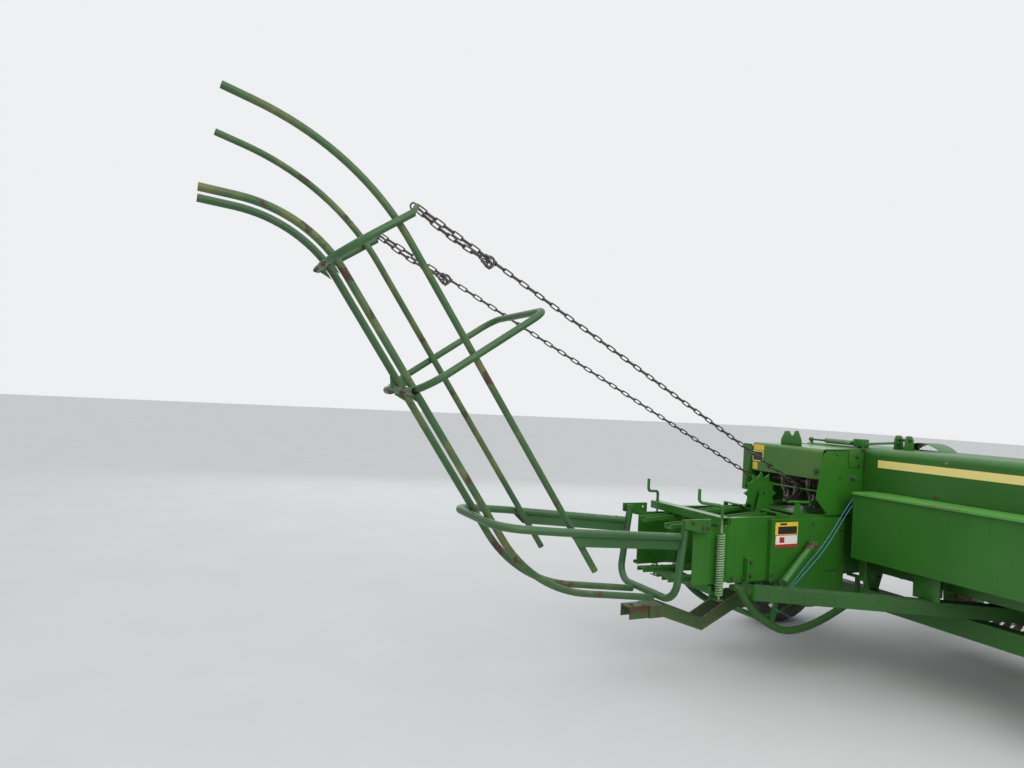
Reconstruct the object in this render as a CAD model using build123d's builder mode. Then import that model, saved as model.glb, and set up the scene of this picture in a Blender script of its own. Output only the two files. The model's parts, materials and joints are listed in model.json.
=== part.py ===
"""Small square baler with a wagon chute, as separate pieces. Millimetres.

Machine datum while modelling: X 0 at the rear edge of the bale case, +X forward, the way it is towed;
Y 0 on the centre plane of the bale case, +Y to the left; Z 0 on the ground. At the end every piece is
shifted so that the origin lies on the ground below the middle of the whole machine.
"""
from build123d import *
from math import atan2, cos, degrees, radians, sin, sqrt, tan
import os

os.makedirs("parts", exist_ok=True)

# Clearances
seat = 0.3                      # gap between two pieces that rest on each other
running = 6                     # gap round what turns or swings

# Bale case
chamber_wide = 457              # inside width of the bale chamber
chamber_high = 356              # inside height
floor_top = 575                 # chamber floor above the ground
case_wall = 6                   # side, floor and roof plates
flange = 32                     # inward flanges of the side plates
case_rear = 360                 # where the fixed side plates start
case_front = 2900               # where they end at the crankcase
feed_rear = 1500                # feed opening in the right side plate
feed_front = 2060
roof_rear = 1010                # where the roof plate starts, under the knotters
needle_y = (-105, 105)          # the two twine planes
needle_slot = 26                # width of the needle slots
needle_slot_long = 130

case_half = chamber_wide / 2 + case_wall
roof_low = floor_top + chamber_high
case_top = roof_low + case_wall + seat + case_wall
case_low = floor_top - case_wall - seat - case_wall

# Tension rear end
rail_wide = 62                  # channels that press on the bale from above and below
rail_high = 26
rail_squeeze = 60               # how far the upper rails lean in at their rear ends
rail_squeeze_low = 20
rail_y = (-120, 120)
rail_rear = -10
rail_front = 760
panel_rear = 62                 # side panels that squeeze the bale
panel_front = 335
panel_out = 262
panel_wall = 4
yoke_x = 232                    # cross channels over and under the rails
yoke_wide = 66
yoke_high = 46
yoke_half = 325
yoke_half_low = 268
spring_y = 300
spring_od = 46
spring_low = 512
spring_top = 868
spring_coils = 24
wire = 9
crank_rod = 18

# Knotter hood
hood_rear = 1082
hood_front = 1430
hood_right = -250
hood_left = 366
hood_flange = 74                # rear-facing strip at the left end
hood_top = 1360
hood_lip = 1165                 # lower edge of the rear panel
hood_pin = 5
sheet = 4

# Needles
needle_pivot = (770, 760)       # X and Z of the yoke's pivot
needle_radius = 460
needle_tip = -28                # angle of the needle's tip at home, from +X
needle_span = 70                # arc from tip to yoke
needle_deep = 24
needle_thick = 12
arm_thick = 10
yoke_bar = 36

# Feed housing and twine box, out to the right
housing_rear = 1450
housing_front = 2064
housing_low = 600
housing_top = 1378
housing_inner = -245
housing_end = -1540
housing_radius = 45
box_rear = 1222
box_inner = -362
box_outer = -1500
box_low = 700
box_top = 1092
lid_thick = 14
auger_radius = 150
auger_tube = 45
auger_pitch = 330
auger_x = 1790
auger_z = 790

# Axle and wheels
axle_x = 1617
axle_low = 332
axle_high = 112
axle_wide = 90
wheel_radius = 365
tyre_wide = 230
rim_radius = 205
rim_wide = 150
track_right = -1790
track_left = 600
spindle = 42

# Diagonal beam under the twine box
beam_start = (500, -305)
beam_end = (1960, -1235)
beam_low = 480
beam_size = 78

# Pickup
pickup_hinge = (2120, 560)
reel_x = 2440
reel_z = 415
reel_tube = 60
tine_reach = 262
stripper_radius = 205
stripper_wide = 46
stripper_pitch = 66
pickup_inner = -330
pickup_outer = -1800
gauge_radius = 150
gauge_wide = 90
guard_rods = 10

# Front end
crank_rear = case_front + 20
crank_front = crank_rear + 315
crank_half = 200
crank_cover = 60                # how far the round cover stands out at the front
flywheel_x = crank_front + 55
flywheel_wide = 85
flywheel_radius = 265
drive_z = 800
pto_bore = 17.45                # socket for a 1 3/8 in power shaft
pto_deep = 70
swing_x = flywheel_x + 270      # tongue pivot, on the vertical line through the driveline's joint
sill_long = 810                 # side members of the main frame
sill_high_gap = 6               # their plates stand this clear of the tongue
tongue_low = 400
tongue_size = 100
tongue_front = 5150
hitch_x = tongue_front + 120
hitch_hole = 32
jack_x = 4560
jack_y = 130
jack_pin_z = 450

# Chute. Angles are above the horizontal, looking rearwards.
cradle_tube = 42
cradle_half = 271
cradle_pivot_z = 930
cradle_foot = (-55, 492)
cradle_bend = 105
table_tube = 42
table_z = 850                   # where its tubes meet the cradle's legs
table_rise = 4.8
table_spread = 346              # half width where the side rails cross it
table_spread_x = -820
table_end = 325
table_bend = 150
table_plate = 68                # height of the side plates below the tubes
low_tube = 38
low_half = 101
low_start = (-50, 472)
low_heading = 6.7
low_path = (("run", 475), ("turn", 747, 55.3), ("run", 1550), ("turn", 656, 4.2), ("run", 156))
side_tube = 34
side_half = 299
side_start = (-604, 705)
side_heading = 55.3
side_path = (("run", 1888), ("turn", 1261, 15.1), ("run", 134))
hoop_tube = 36
mid_along = 926                 # where the middle hoop crosses the lower rails, along their long run
mid_length = 768
mid_bend_low = 170
mid_bend_top = 95
upper_turn = 7.4                # how far the rails have bent over where the upper hoop crosses them
upper_length = 400
upper_bend = 200

# Chains that hold the chute up
link_wire = 8
link_pitch = 46
link_wide = 30
anchor_x = 1100                 # bar under the hood that the chains end on
anchor_z = 1088
anchor_pin = 6                  # and the hooks' pins at their upper ends
anchor_y = (-70, 290)


def tube(points, bends, outside, wall=0):
    """A bent tube or rod: straight runs joined by arcs."""
    with BuildPart() as piece:
        with BuildLine() as path:
            if len(points) == 2:
                Line(*points)
            else:
                FilletPolyline(*points, radius=bends)
        with BuildSketch(Plane(origin=path.line @ 0, z_dir=path.line % 0)):
            Circle(outside / 2)
            if wall:
                Circle(outside / 2 - wall, mode=Mode.SUBTRACT)
        sweep()
    return piece.part


def block(x, y, z):
    """A box between two X, two Y and two Z values."""
    with BuildPart() as piece:
        with Locations(((x[0] + x[1]) / 2, (y[0] + y[1]) / 2, (z[0] + z[1]) / 2)):
            Box(abs(x[1] - x[0]), abs(y[1] - y[0]), abs(z[1] - z[0]))
    return piece.part


def plate_xz(outline, y, holes=()):
    """A flat plate between two Y values. Its outline is in X and Z; holes are (x, z, radius)."""
    with BuildPart() as piece:
        with BuildSketch(Plane.XZ.offset(-max(y))):
            with BuildLine():
                Polyline(*outline, close=True)
            make_face()
            for x, z, radius in holes:
                with Locations((x, z)):
                    Circle(radius, mode=Mode.SUBTRACT)
        extrude(amount=abs(y[1] - y[0]))
    return piece.part


def pin(x, z, y, radius, bore=0):
    """A round bar along Y."""
    with BuildPart() as piece:
        with BuildSketch(Plane.XZ.offset(-max(y))):
            with Locations((x, z)):
                Circle(radius)
                if bore:
                    Circle(bore, mode=Mode.SUBTRACT)
        extrude(amount=abs(y[1] - y[0]))
    return piece.part


def bent_sheet(outer, bends, thick, y):
    """A bent sheet between two Y values, through points in X and Z, its wall on the right going along."""
    with BuildPart() as piece:
        with BuildSketch(Plane.XZ.offset(-max(y))):
            with BuildLine():
                FilletPolyline(*outer, radius=bends)
                offset(amount=thick, side=Side.RIGHT)
            make_face()
        extrude(amount=abs(y[1] - y[0]))
    return piece.part


def rail_corners(start, heading, path):
    """Corner points (x, z) and bend radii of a chute rail."""
    x, z = start
    corners = [start]
    radii = []
    angle = radians(heading)
    for step in path:
        if step[0] == "run":
            x, z = x - step[1] * cos(angle), z + step[1] * sin(angle)
        else:
            turn = radians(step[2])
            reach = step[1] * tan(abs(turn - angle) / 2)
            x, z = x - reach * cos(angle), z + reach * sin(angle)
            corners.append((x, z))
            radii.append(step[1])
            angle = turn
            x, z = x - reach * cos(angle), z + reach * sin(angle)
    corners.append((x, z))
    return corners, radii


# Side plates of the bale case, flanged inwards at top and bottom
with BuildPart() as case_side_right:
    with BuildSketch(Plane.YZ.offset(case_rear)):
        with Locations((-case_half + flange / 2, (case_low + case_top) / 2)):
            Rectangle(flange, case_top - case_low)
        with Locations((-case_half + case_wall + flange / 2, (case_low + case_top) / 2)):
            Rectangle(flange, case_top - case_low - 2 * case_wall, mode=Mode.SUBTRACT)
    extrude(amount=case_front - case_rear)
    with Locations(((feed_rear + feed_front) / 2, -case_half, floor_top + chamber_high / 2)):
        Box(feed_front - feed_rear, 3 * case_wall, chamber_high - 20, mode=Mode.SUBTRACT)

with BuildPart() as case_side_left:
    with BuildSketch(Plane.YZ.offset(case_rear)):
        with Locations((case_half - flange / 2, (case_low + case_top) / 2)):
            Rectangle(flange, case_top - case_low)
        with Locations((case_half - case_wall - flange / 2, (case_low + case_top) / 2)):
            Rectangle(flange, case_top - case_low - 2 * case_wall, mode=Mode.SUBTRACT)
    extrude(amount=case_front - case_rear)

needle_reach = sqrt(needle_radius ** 2 - (needle_pivot[1] - floor_top) ** 2)
slot_x = needle_pivot[0] + needle_reach
floor_half = chamber_wide / 2 - seat
floor_rear = rail_front + 20

with BuildPart() as case_floor:
    with BuildSketch(Plane.XY.offset(floor_top - case_wall)):
        with Locations(((floor_rear + case_front) / 2, 0)):
            Rectangle(case_front - floor_rear, 2 * floor_half)
        with Locations(*[(slot_x, y) for y in needle_y]):
            SlotOverall(needle_slot_long, needle_slot, mode=Mode.SUBTRACT)
    extrude(amount=case_wall)

with BuildPart() as case_roof:
    with BuildSketch(Plane.XY.offset(roof_low)):
        with Locations(((roof_rear + case_front) / 2, 0)):
            Rectangle(case_front - roof_rear, 2 * floor_half)
        with Locations(*[(slot_x, y) for y in needle_y]):
            SlotOverall(needle_slot_long, needle_slot, mode=Mode.SUBTRACT)
    extrude(amount=case_wall)

# Tension rails: channels, open away from the bale. They are hinged at their front ends and lean in
with BuildPart() as tension_rails:
    for web, way, lean in ((roof_low, 1, -rail_squeeze), (floor_top, -1, rail_squeeze_low)):
        with BuildPart(mode=Mode.PRIVATE) as rails:
            for y in rail_y:
                with BuildSketch(Plane.YZ.offset(rail_rear)):
                    with Locations((y, web + way * rail_high / 2)):
                        Rectangle(rail_wide, rail_high)
                    with Locations((y, web + way * (rail_high / 2 + case_wall))):
                        Rectangle(rail_wide - 2 * case_wall, rail_high, mode=Mode.SUBTRACT)
                extrude(amount=rail_front - rail_rear)
        angle = degrees(atan2(lean, rail_front - rail_rear))
        add(rails.part.rotate(Axis((rail_front, 0, web), (0, 1, 0)), angle))

# Short bars that carry the rails' front ends from the side plates
hinge_x = (rail_front - 34, rail_front - 6)
with BuildPart() as rail_hinges:
    for side in (-1, 1):
        high, low = roof_low + rail_high + seat, floor_top - rail_high - seat
        span = (side * (rail_y[1] - rail_wide / 2), side * case_half)
        foot = (side * (case_half - 14), side * case_half)
        add(block(hinge_x, span, (high, high + 9)))
        add(block(hinge_x, foot, (case_top + seat, high)))
        add(block(hinge_x, span, (low - 9, low)))
        add(block(hinge_x, foot, (low, case_low - seat)))

# Side panels of the rear end, their front edge curved in against the side plates
panel_low, panel_top = case_low + 12, case_top - 40
panel_tuck = case_half + panel_wall / 2 + seat
with BuildPart() as tension_panels:
    for side in (-1, 1):
        with BuildLine() as path:
            FilletPolyline((panel_rear, side * panel_out, 0), (panel_front - 45, side * panel_out, 0),
                           (panel_front, side * panel_tuck, 0), (panel_front + 60, side * panel_tuck, 0),
                           radius=[50, 30])
        with BuildSketch(Plane(origin=path.line @ 0, x_dir=(0, 1, 0), z_dir=path.line % 0)):
            with Locations((0, (panel_low + panel_top) / 2)):
                Rectangle(panel_wall, panel_top - panel_low)
        sweep()

# Cross channels over and under the rails, pulled together by the springs
def yoke_face(web, way, lean):
    """Height at which a yoke clears the leaning rails' outer edges."""
    slope = lean / (rail_front - rail_rear)
    reach = rail_front - yoke_x - yoke_wide / 2
    return web + way * (rail_high / cos(atan2(abs(lean), rail_front - rail_rear)) + seat) + slope * reach


yoke_top_low = yoke_face(roof_low, 1, -rail_squeeze)
yoke_low_high = yoke_face(floor_top, -1, rail_squeeze_low)
with BuildPart() as tension_yokes:
    for half, base, way in ((yoke_half, yoke_top_low, 1), (yoke_half_low, yoke_low_high, -1)):
        with BuildSketch(Plane.XZ.offset(-half)):
            with Locations((yoke_x, base + way * yoke_high / 2)):
                Rectangle(yoke_wide, yoke_high)
            with Locations((yoke_x, base + way * (yoke_high / 2 - case_wall))):
                Rectangle(yoke_wide - 2 * case_wall, yoke_high, mode=Mode.SUBTRACT)
        extrude(amount=2 * half)
    for side in (-1, 1):
        low = yoke_low_high - yoke_high
        add(block((yoke_x - 20, yoke_x + 20), (side * 240, side * (spring_y + 16)),
                  (spring_low - 22, spring_low - 16)))
        add(block((yoke_x - 20, yoke_x + 20), (side * 240, side * 252), (spring_low - 22, low)))

# Close-wound tension springs, one on each side, with their draw rods
with BuildPart() as tension_springs:
    for side in (-1, 1):
        coil = (spring_top - spring_low) / spring_coils
        with BuildSketch(Plane.XZ.offset(-side * spring_y)):
            with BuildLine():
                points = [(yoke_x, spring_low)]
                for turn in range(spring_coils):
                    z = spring_low + turn * coil
                    points.append((yoke_x + spring_od / 2 - wire / 2, z))
                    points.append((yoke_x + spring_od / 2, z + coil / 2))
                points.append((yoke_x + spring_od / 2 - wire / 2, spring_top))
                points.append((yoke_x, spring_top))
                Polyline(*points, close=True)
            make_face()
        revolve(axis=Axis((yoke_x, side * spring_y, 0), (0, 0, 1)))
        rod_top = yoke_top_low + yoke_high - case_wall - seat
        for low, high in ((spring_low - 16 + seat, spring_low), (spring_top, rod_top)):
            with Locations((yoke_x, side * spring_y, (low + high) / 2)):
                Cylinder(wire / 2, high - low)

# Crank handles that tighten the springs
with BuildPart() as tension_cranks:
    for side in (-1, 1):
        top = yoke_top_low + yoke_high + seat
        add(tube([(yoke_x, side * spring_y, top), (yoke_x, side * spring_y, top + 62),
                  (yoke_x - 120, side * (spring_y - 60), top + 74),
                  (yoke_x - 120, side * (spring_y - 60), top + 150)], [26, 26], crank_rod))

# Brackets that carry the chute, with their hinge pins
hanger_y = cradle_half + cradle_tube / 2 + running
with BuildPart() as chute_hangers:
    for side in (-1, 1):
        add(plate_xz([(-32, 905), (70, 880), (150, 880), (150, 955), (-32, 955)],
                     (side * hanger_y, side * (hanger_y + 8)), [(120, 930, 7)]))
        spacer_y = (side * (panel_out + panel_wall / 2 + seat), side * hanger_y)
        add(block((76, 150), spacer_y, (880, panel_top - 6)))
        add(pin(0, cradle_pivot_z, (side * (cradle_half - cradle_tube / 2 - 4), side * hanger_y), 8))

# Toothed wheel that measures the bale, on its shaft, and the arm that trips the knotters
star_x, star_z = 812, 1052
star_radius, star_teeth = 128, 12
with BuildPart() as star_wheel:
    with BuildSketch(Plane.XZ.offset(-4)):
        with Locations((star_x, star_z)):
            Circle(star_radius - 20)
            with PolarLocations(star_radius - 26, star_teeth):
                with Locations((13, 0)):
                    RegularPolygon(24, 3)
    extrude(amount=8)
    add(pin(star_x, star_z, (-22, 22), 24))
    add(pin(star_x, star_z, (-22, 92), 11))

with BuildPart() as star_post:
    for y in (60, -60 + 28):
        add(plate_xz([(star_x - 60, case_top + seat + 6), (star_x + 60, case_top + seat + 6),
                      (star_x + 26, star_z + 30), (star_x - 26, star_z + 30)], (y, y + 8),
                     [(star_x, star_z, 11.06)]))
    add(block((star_x - 60, star_x + 60), (-32, 68), (case_top + seat, case_top + seat + 6)))
    add(block((star_x - 18, star_x + 18), (-case_half + 2, case_half - 2),
              (case_top + seat, case_top + seat + 6)))
    with Locations((star_x, 0, case_top + seat + 3)):
        Box(150, 18, 20, mode=Mode.SUBTRACT)
    # The arm that trips the knotters, and its post
    trip_y, trip_z = -case_half + flange / 2, case_top + 86
    add(tube([(star_x + 20, trip_y, trip_z), (star_x + 190, trip_y, trip_z - 6),
              (star_x + 300, -150, trip_z - 20), (hood_rear + 60, -150, trip_z - 24)], [40, 40], 16))
    add(plate_xz([(star_x + 60, case_top + seat), (star_x + 130, case_top + seat), (star_x + 112, trip_z - 5),
                  (star_x + 78, trip_z - 5)], (trip_y - 4, trip_y + 4)))

# Knotter stack under the hood: the shaft, two knotter heads with their cam discs, and the frame rails
shaft_x, shaft_z = 1262, 1120
with BuildPart() as knotters:
    add(pin(shaft_x, shaft_z, (hood_right + 20, hood_left - 30), 19))
    for y in needle_y:
        add(pin(shaft_x, shaft_z, (y + 18, y + 34), 128))
        add(pin(shaft_x, shaft_z, (y - 20, y + 18), 52))
        add(plate_xz([(shaft_x - 96, case_top + 30), (shaft_x + 46, case_top + 30),
                      (shaft_x + 34, shaft_z - 30), (shaft_x + 34, shaft_z + 26),
                      (shaft_x - 30, shaft_z + 40)], (y - 32, y - 20)))
        add(tube([(shaft_x - 60, y - 24, shaft_z - 20), (shaft_x - 60, y - 24, case_top + 46),
                  (shaft_x - 110, y - 24, case_top + 34)], [14], 20))

end_foot = 14
with BuildPart() as knotter_frame:
    for y, low in ((hood_right + 24, case_top + seat), (hood_left - 36, case_top + end_foot + seat)):
        add(plate_xz([(anchor_x - 22, anchor_z - 40), (shaft_x - 70, low), (hood_front - 30, low),
                      (hood_front - 30, shaft_z + 60), (shaft_x - 40, shaft_z + 60),
                      (anchor_x - 22, anchor_z + 22)], (y, y + 10), [(shaft_x, shaft_z, 19.06)]))
    add(pin(anchor_x, anchor_z, (hood_right + 34, hood_left - 36), anchor_pin))

# Hood over the knotters, hinged at its front edge, and the fixed end plates beside it
with BuildPart() as hood:
    add(bent_sheet([(hood_rear, hood_lip), (hood_rear, hood_top), (hood_front, hood_top + sheet)], [28],
                   sheet, (hood_right + sheet + running, hood_left - sheet - running)))
    add(pin(hood_front, hood_top + sheet, (hood_right - 3, hood_left + 3), hood_pin))
    for y in (hood_left - 270, hood_left - 214):
        add(plate_xz([(hood_rear + 60, hood_top), (hood_rear + 150, hood_top + 1),
                      (hood_rear + 150, hood_top + 34), (hood_rear + 132, hood_top + 66),
                      (hood_rear + 105, hood_top + 30),
                      (hood_rear + 78, hood_top + 66), (hood_rear + 60, hood_top + 34)], (y, y + 6)))

end_outline = [(hood_rear - 55, 1047), (1124, case_top + end_foot), (hood_front + 14, case_top + end_foot),
               (hood_front + 14, hood_top + 16), (hood_front - 12, hood_top + 16),
               (hood_front - 24, hood_top - 8),
               (hood_rear + 30, hood_top - 8), (hood_rear + 3, hood_top - 30)]
end_holes = [(hood_rear + 120, hood_top - 40, 7), (hood_front, hood_top + sheet, hood_pin + 0.05)]
with BuildPart() as hood_ends:
    add(plate_xz(end_outline, (hood_right, hood_right + sheet), end_holes))
    add(plate_xz(end_outline, (hood_left - sheet, hood_left), end_holes))
    add(block((hood_rear - 4, hood_rear), (hood_left - 4, hood_left + hood_flange), (1020, hood_top - 14)))
    foot_x, foot_z = (1130, hood_front + 14), (case_top + seat, case_top + end_foot)
    add(block(foot_x, (hood_right, hood_right + 20), foot_z))
    add(block(foot_x, (case_half - flange, hood_left), foot_z))

# Needles: two curved blades on one yoke, which swings up through the chamber
px, pz = needle_pivot
tip, tail = needle_tip, needle_tip - needle_span
arm_in = case_half + running
with BuildPart() as needles:
    for y in needle_y:
        with BuildSketch(Plane.XZ.offset(-(y + needle_thick / 2))):
            with BuildLine():
                outer = CenterArc((px, pz), needle_radius + needle_deep / 2, tail, needle_span - 8)
                inner = CenterArc((px, pz), needle_radius - needle_deep / 2, tail, needle_span - 8)
                point = (px + needle_radius * cos(radians(tip)), pz + needle_radius * sin(radians(tip)))
                Line(outer @ 1, point)
                Line(point, inner @ 1)
                Line(outer @ 0, inner @ 0)
            make_face()
        extrude(amount=needle_thick)
    bar = (px + needle_radius * cos(radians(tail)), pz + needle_radius * sin(radians(tail)))
    add(pin(bar[0], bar[1], (-arm_in - arm_thick, arm_in + arm_thick), yoke_bar / 2))
    for side in (-1, 1):
        across = (cos(radians(tail + 90)), sin(radians(tail + 90)))
        with BuildSketch(Plane.XZ.offset(-max(side * arm_in, side * (arm_in + arm_thick)))):
            with BuildLine():
                Polyline((px + 26 * across[0], pz + 26 * across[1]),
                         (bar[0] + 18 * across[0], bar[1] + 18 * across[1]),
                         (bar[0] - 18 * across[0], bar[1] - 18 * across[1]),
                         (px - 26 * across[0], pz - 26 * across[1]), close=True)
            make_face()
            with Locations((px, pz)):
                Circle(36)
                Circle(15.06, mode=Mode.SUBTRACT)
            with Locations(bar):
                Circle(yoke_bar / 2)
        extrude(amount=arm_thick)

# Covers that stand off the case sides over the needle arms, round at the bottom, with the pivot studs
cover_in = arm_in + arm_thick + running
cover_rear, cover_front = 655, 1285
with BuildPart() as needle_covers:
    for side in (-1, 1):
        faces = (side * cover_in, side * (cover_in + sheet))
        with BuildSketch(Plane.XZ.offset(-max(faces))):
            with BuildLine():
                low = ThreePointArc((725, case_low), (925, 396), (cover_front, 516))
                Polyline(low @ 1, (cover_front, case_top - 14), (cover_rear, case_top - 14),
                         (cover_rear, case_low), low @ 0)
            make_face()
        extrude(amount=sheet)
        stand_off = (side * (case_half + seat), side * cover_in)
        for x in (cover_rear, cover_front - 14):
            add(block((x, x + 14), stand_off, (case_low + 10, case_top - 20)))
        add(block((cover_rear, cover_front), stand_off, (case_top - 28, case_top - 14)))
        add(pin(px, pz, stand_off, 15))

# Bent tubes that guard the needles below the case
with BuildPart() as needle_guards:
    for side in (-1, 1):
        y = side * (cover_in + 30)
        add(tube([(417, y, case_low - 14), (470, y, 380), (690, y, 262), (930, y, 248), (1385, y, 402)],
                 [90, 170, 300], 44))
        add(block((395, 445), (side * (case_half + seat), y), (case_low - 34, case_low - 6)))
        add(block((1372, 1402), (side * (case_half - 20), y), (396, case_low - seat)))

# Diagonal beam under the twine box, its bracket on the case, the strut and the box's post
run_x, run_y = beam_end[0] - beam_start[0], beam_end[1] - beam_start[1]
beam_length = sqrt(run_x ** 2 + run_y ** 2)
beam_plane = Plane(origin=(beam_start[0], beam_start[1], beam_low + beam_size / 2),
                   x_dir=(-run_y, run_x, 0), z_dir=(run_x, run_y, 0))
with BuildPart() as beam:
    with BuildSketch(beam_plane):
        Rectangle(beam_size, beam_size)
        Rectangle(beam_size - 10, beam_size - 10, mode=Mode.SUBTRACT)
    extrude(amount=beam_length)
    split(bisect_by=Plane(origin=(0, -cover_in - sheet - 4, 0), z_dir=(0, -1, 0)), keep=Keep.TOP)

with BuildPart() as beam_bracket:
    add(block((470, 478), (-case_half - seat, -340), (beam_low, beam_low + 190)))
    add(block((470, 540), (-case_half - seat, -case_half - 8), (case_low, beam_low + 230)))

with BuildPart() as strut:
    cover_face = -cover_in - sheet
    add(tube([(868, cover_face - 30, 862), (722, cover_face - 76, beam_low + beam_size + 18)], [], 50))
    add(block((846, 892), (cover_face - 58, cover_face - seat), (834, 880)))

# Twine box on the rear of the feed housing, and its lid
with BuildPart() as twine_box:
    add(block((box_rear, housing_rear - seat), (box_outer, box_inner), (box_low, box_top)))
    add(block((box_rear + sheet, housing_rear - seat - sheet), (box_outer + sheet, box_inner - sheet),
              (box_low + sheet, box_top + 10)), mode=Mode.SUBTRACT)

lid_hinge = (housing_rear - 14, box_top + seat + lid_thick)
with BuildPart() as twine_box_lid:
    with BuildSketch(Plane.XY.offset(box_top + seat)):
        with Locations(((box_rear - 14 + lid_hinge[0] - running) / 2, (box_outer + box_inner) / 2)):
            Rectangle(lid_hinge[0] - running - box_rear + 14, box_inner - box_outer + 24)
    extrude(amount=lid_thick)
    fillet(twine_box_lid.edges().filter_by(Axis.Z).group_by(Axis.X)[0], radius=22)
    add(pin(lid_hinge[0] - 6, lid_hinge[1] - 6, (box_outer + 60, box_outer + 260), 6))
    add(pin(lid_hinge[0] - 6, lid_hinge[1] - 6, (box_inner - 260, box_inner - 60), 6))

with BuildPart() as box_post:
    add(block((1290, 1430), (-812, -804), (beam_low + beam_size + seat, box_low - seat)))
    add(block((1290, 1430), (-830, -760), (box_low - seat - 6, box_low - seat)))

# Feed housing: rear wall and roof of one bent sheet, floor, end walls
with BuildPart() as feed_housing:
    add(bent_sheet([(housing_rear, housing_low), (housing_rear, housing_top), (1960, housing_top),
                    (2040, housing_top - 60)], [housing_radius, 40], sheet, (housing_end, case_half)))
    add(block((housing_rear - 2, housing_rear + 80), (housing_inner + 4, case_half + 2),
              (500, case_top + seat + 8)), mode=Mode.SUBTRACT)

with BuildPart() as feed_floor:
    rear = housing_rear + 2 * sheet + seat
    add(bent_sheet([(rear, housing_low + 90), (rear, housing_low + 4), (housing_front, housing_low + 4),
                    (housing_front + 4, housing_low - 30)], [60, 8], sheet, (housing_end + 8, housing_inner)))
    for y in (-420, -960, -1460):
        add(plate_xz([(1560, housing_low - 8), (housing_front - 12, housing_low - 8),
                      (pickup_hinge[0] + 26, 585), (pickup_hinge[0] + 26, 534),
                      (pickup_hinge[0] - 26, 534), (1620, 556)],
                     (y - 5, y + 5), [(pickup_hinge[0], pickup_hinge[1], 20.05)]))

end_points = [(housing_rear + sheet + seat, housing_low), (housing_front + 30, housing_low),
              (housing_front + 90, housing_low + 180), (2040, housing_top - 66), (1958, housing_top - 6),
              (housing_rear + 50, housing_top - 6), (housing_rear + sheet + seat, housing_top - 50)]
with BuildPart() as housing_ends:
    add(plate_xz(end_points, (housing_end, housing_end + 6), [(auger_x, auger_z, 22.05)]))
    inner_points = [(housing_rear + sheet + seat, case_top + seat + 8), (2060, case_top + seat + 8),
                    (2032, housing_top - 66), (1958, housing_top - 6), (housing_rear + 50, housing_top - 6),
                    (housing_rear + sheet + seat, housing_top - 50)]
    add(plate_xz(inner_points, (case_half - 6, case_half)))
    add(plate_xz([(auger_x - 40, auger_z - 40), (auger_x + 40, auger_z - 40), (auger_x + 90, housing_top - 6),
                  (auger_x - 90, housing_top - 6)], (housing_inner - 24, housing_inner - 16),
                 [(auger_x, auger_z, 22.05)]))

with BuildPart() as auger:
    add(pin(auger_x, auger_z, (housing_end - 30, housing_inner - 12), 22))
    add(pin(auger_x, auger_z, (housing_end + 20, housing_inner - 40), auger_tube))
    turns = int((housing_inner - 40 - housing_end - 60) / auger_pitch)
    with BuildLine() as spiral:
        Helix(auger_pitch, turns * auger_pitch, auger_tube - 3, center=(auger_x, housing_end + 40, auger_z),
              direction=(0, 1, 0))
    flight = spiral.wire()
    start = flight @ 0
    out = Vector(start.X - auger_x, 0, start.Z - auger_z).normalized()
    wide = auger_radius - auger_tube + 3
    with BuildSketch(Plane(origin=start + out * wide / 2, x_dir=out, z_dir=flight % 0)):
        Rectangle(wide, 5)
    sweep(path=flight, is_frenet=True)

# Spring, clevis and cover on top of the housing
with BuildPart() as top_fittings:
    for y in (-392, -352):
        add(plate_xz([(1600, housing_top + seat), (1690, housing_top + seat), (1684, housing_top + 62),
                      (1664, housing_top + 84), (1620, housing_top + 84), (1604, housing_top + 62)],
                     (y, y + 8)))
    add(bent_sheet([(1760, housing_top + sheet + seat), (1830, housing_top + 34), (1930, housing_top + 34),
                    (1950, housing_top + sheet + 6)], [50, 12], sheet, (-470, -250)))
    add(block((1446, 1500), (-236, -166), (housing_top + seat, housing_top + 52)))
    add(tube([(1500, -60, housing_top + 24), (1800, 120, housing_top + 24)], [], 34))
    for x, y in ((1500, -60), (1800, 120)):
        add(block((x - 12, x + 12), (y - 12, y + 12), (housing_top + seat, housing_top + 24)))

# Axle beam below the case, its posts, and the two wheels
with BuildPart() as axle:
    add(block((axle_x - axle_wide / 2, axle_x + axle_wide / 2), (track_right + 130, track_left - 130),
              (axle_low, axle_low + axle_high)))
    for y0, y1 in ((-case_half, -case_half + 40), (case_half - 40, case_half)):
        add(plate_xz([(axle_x - 90, case_low - seat), (axle_x + 90, case_low - seat),
                      (axle_x + 44, axle_low + axle_high), (axle_x - 44, axle_low + axle_high)], (y0, y1)))
    add(block((axle_x - 30, axle_x + 30), (-1400, -1300), (axle_low + axle_high, housing_low - seat)))
    add(pin(axle_x, wheel_radius, (track_right - 20, track_right + 130), spindle / 2))
    add(pin(axle_x, wheel_radius, (track_left - 130, track_left + 20), spindle / 2))

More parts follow.
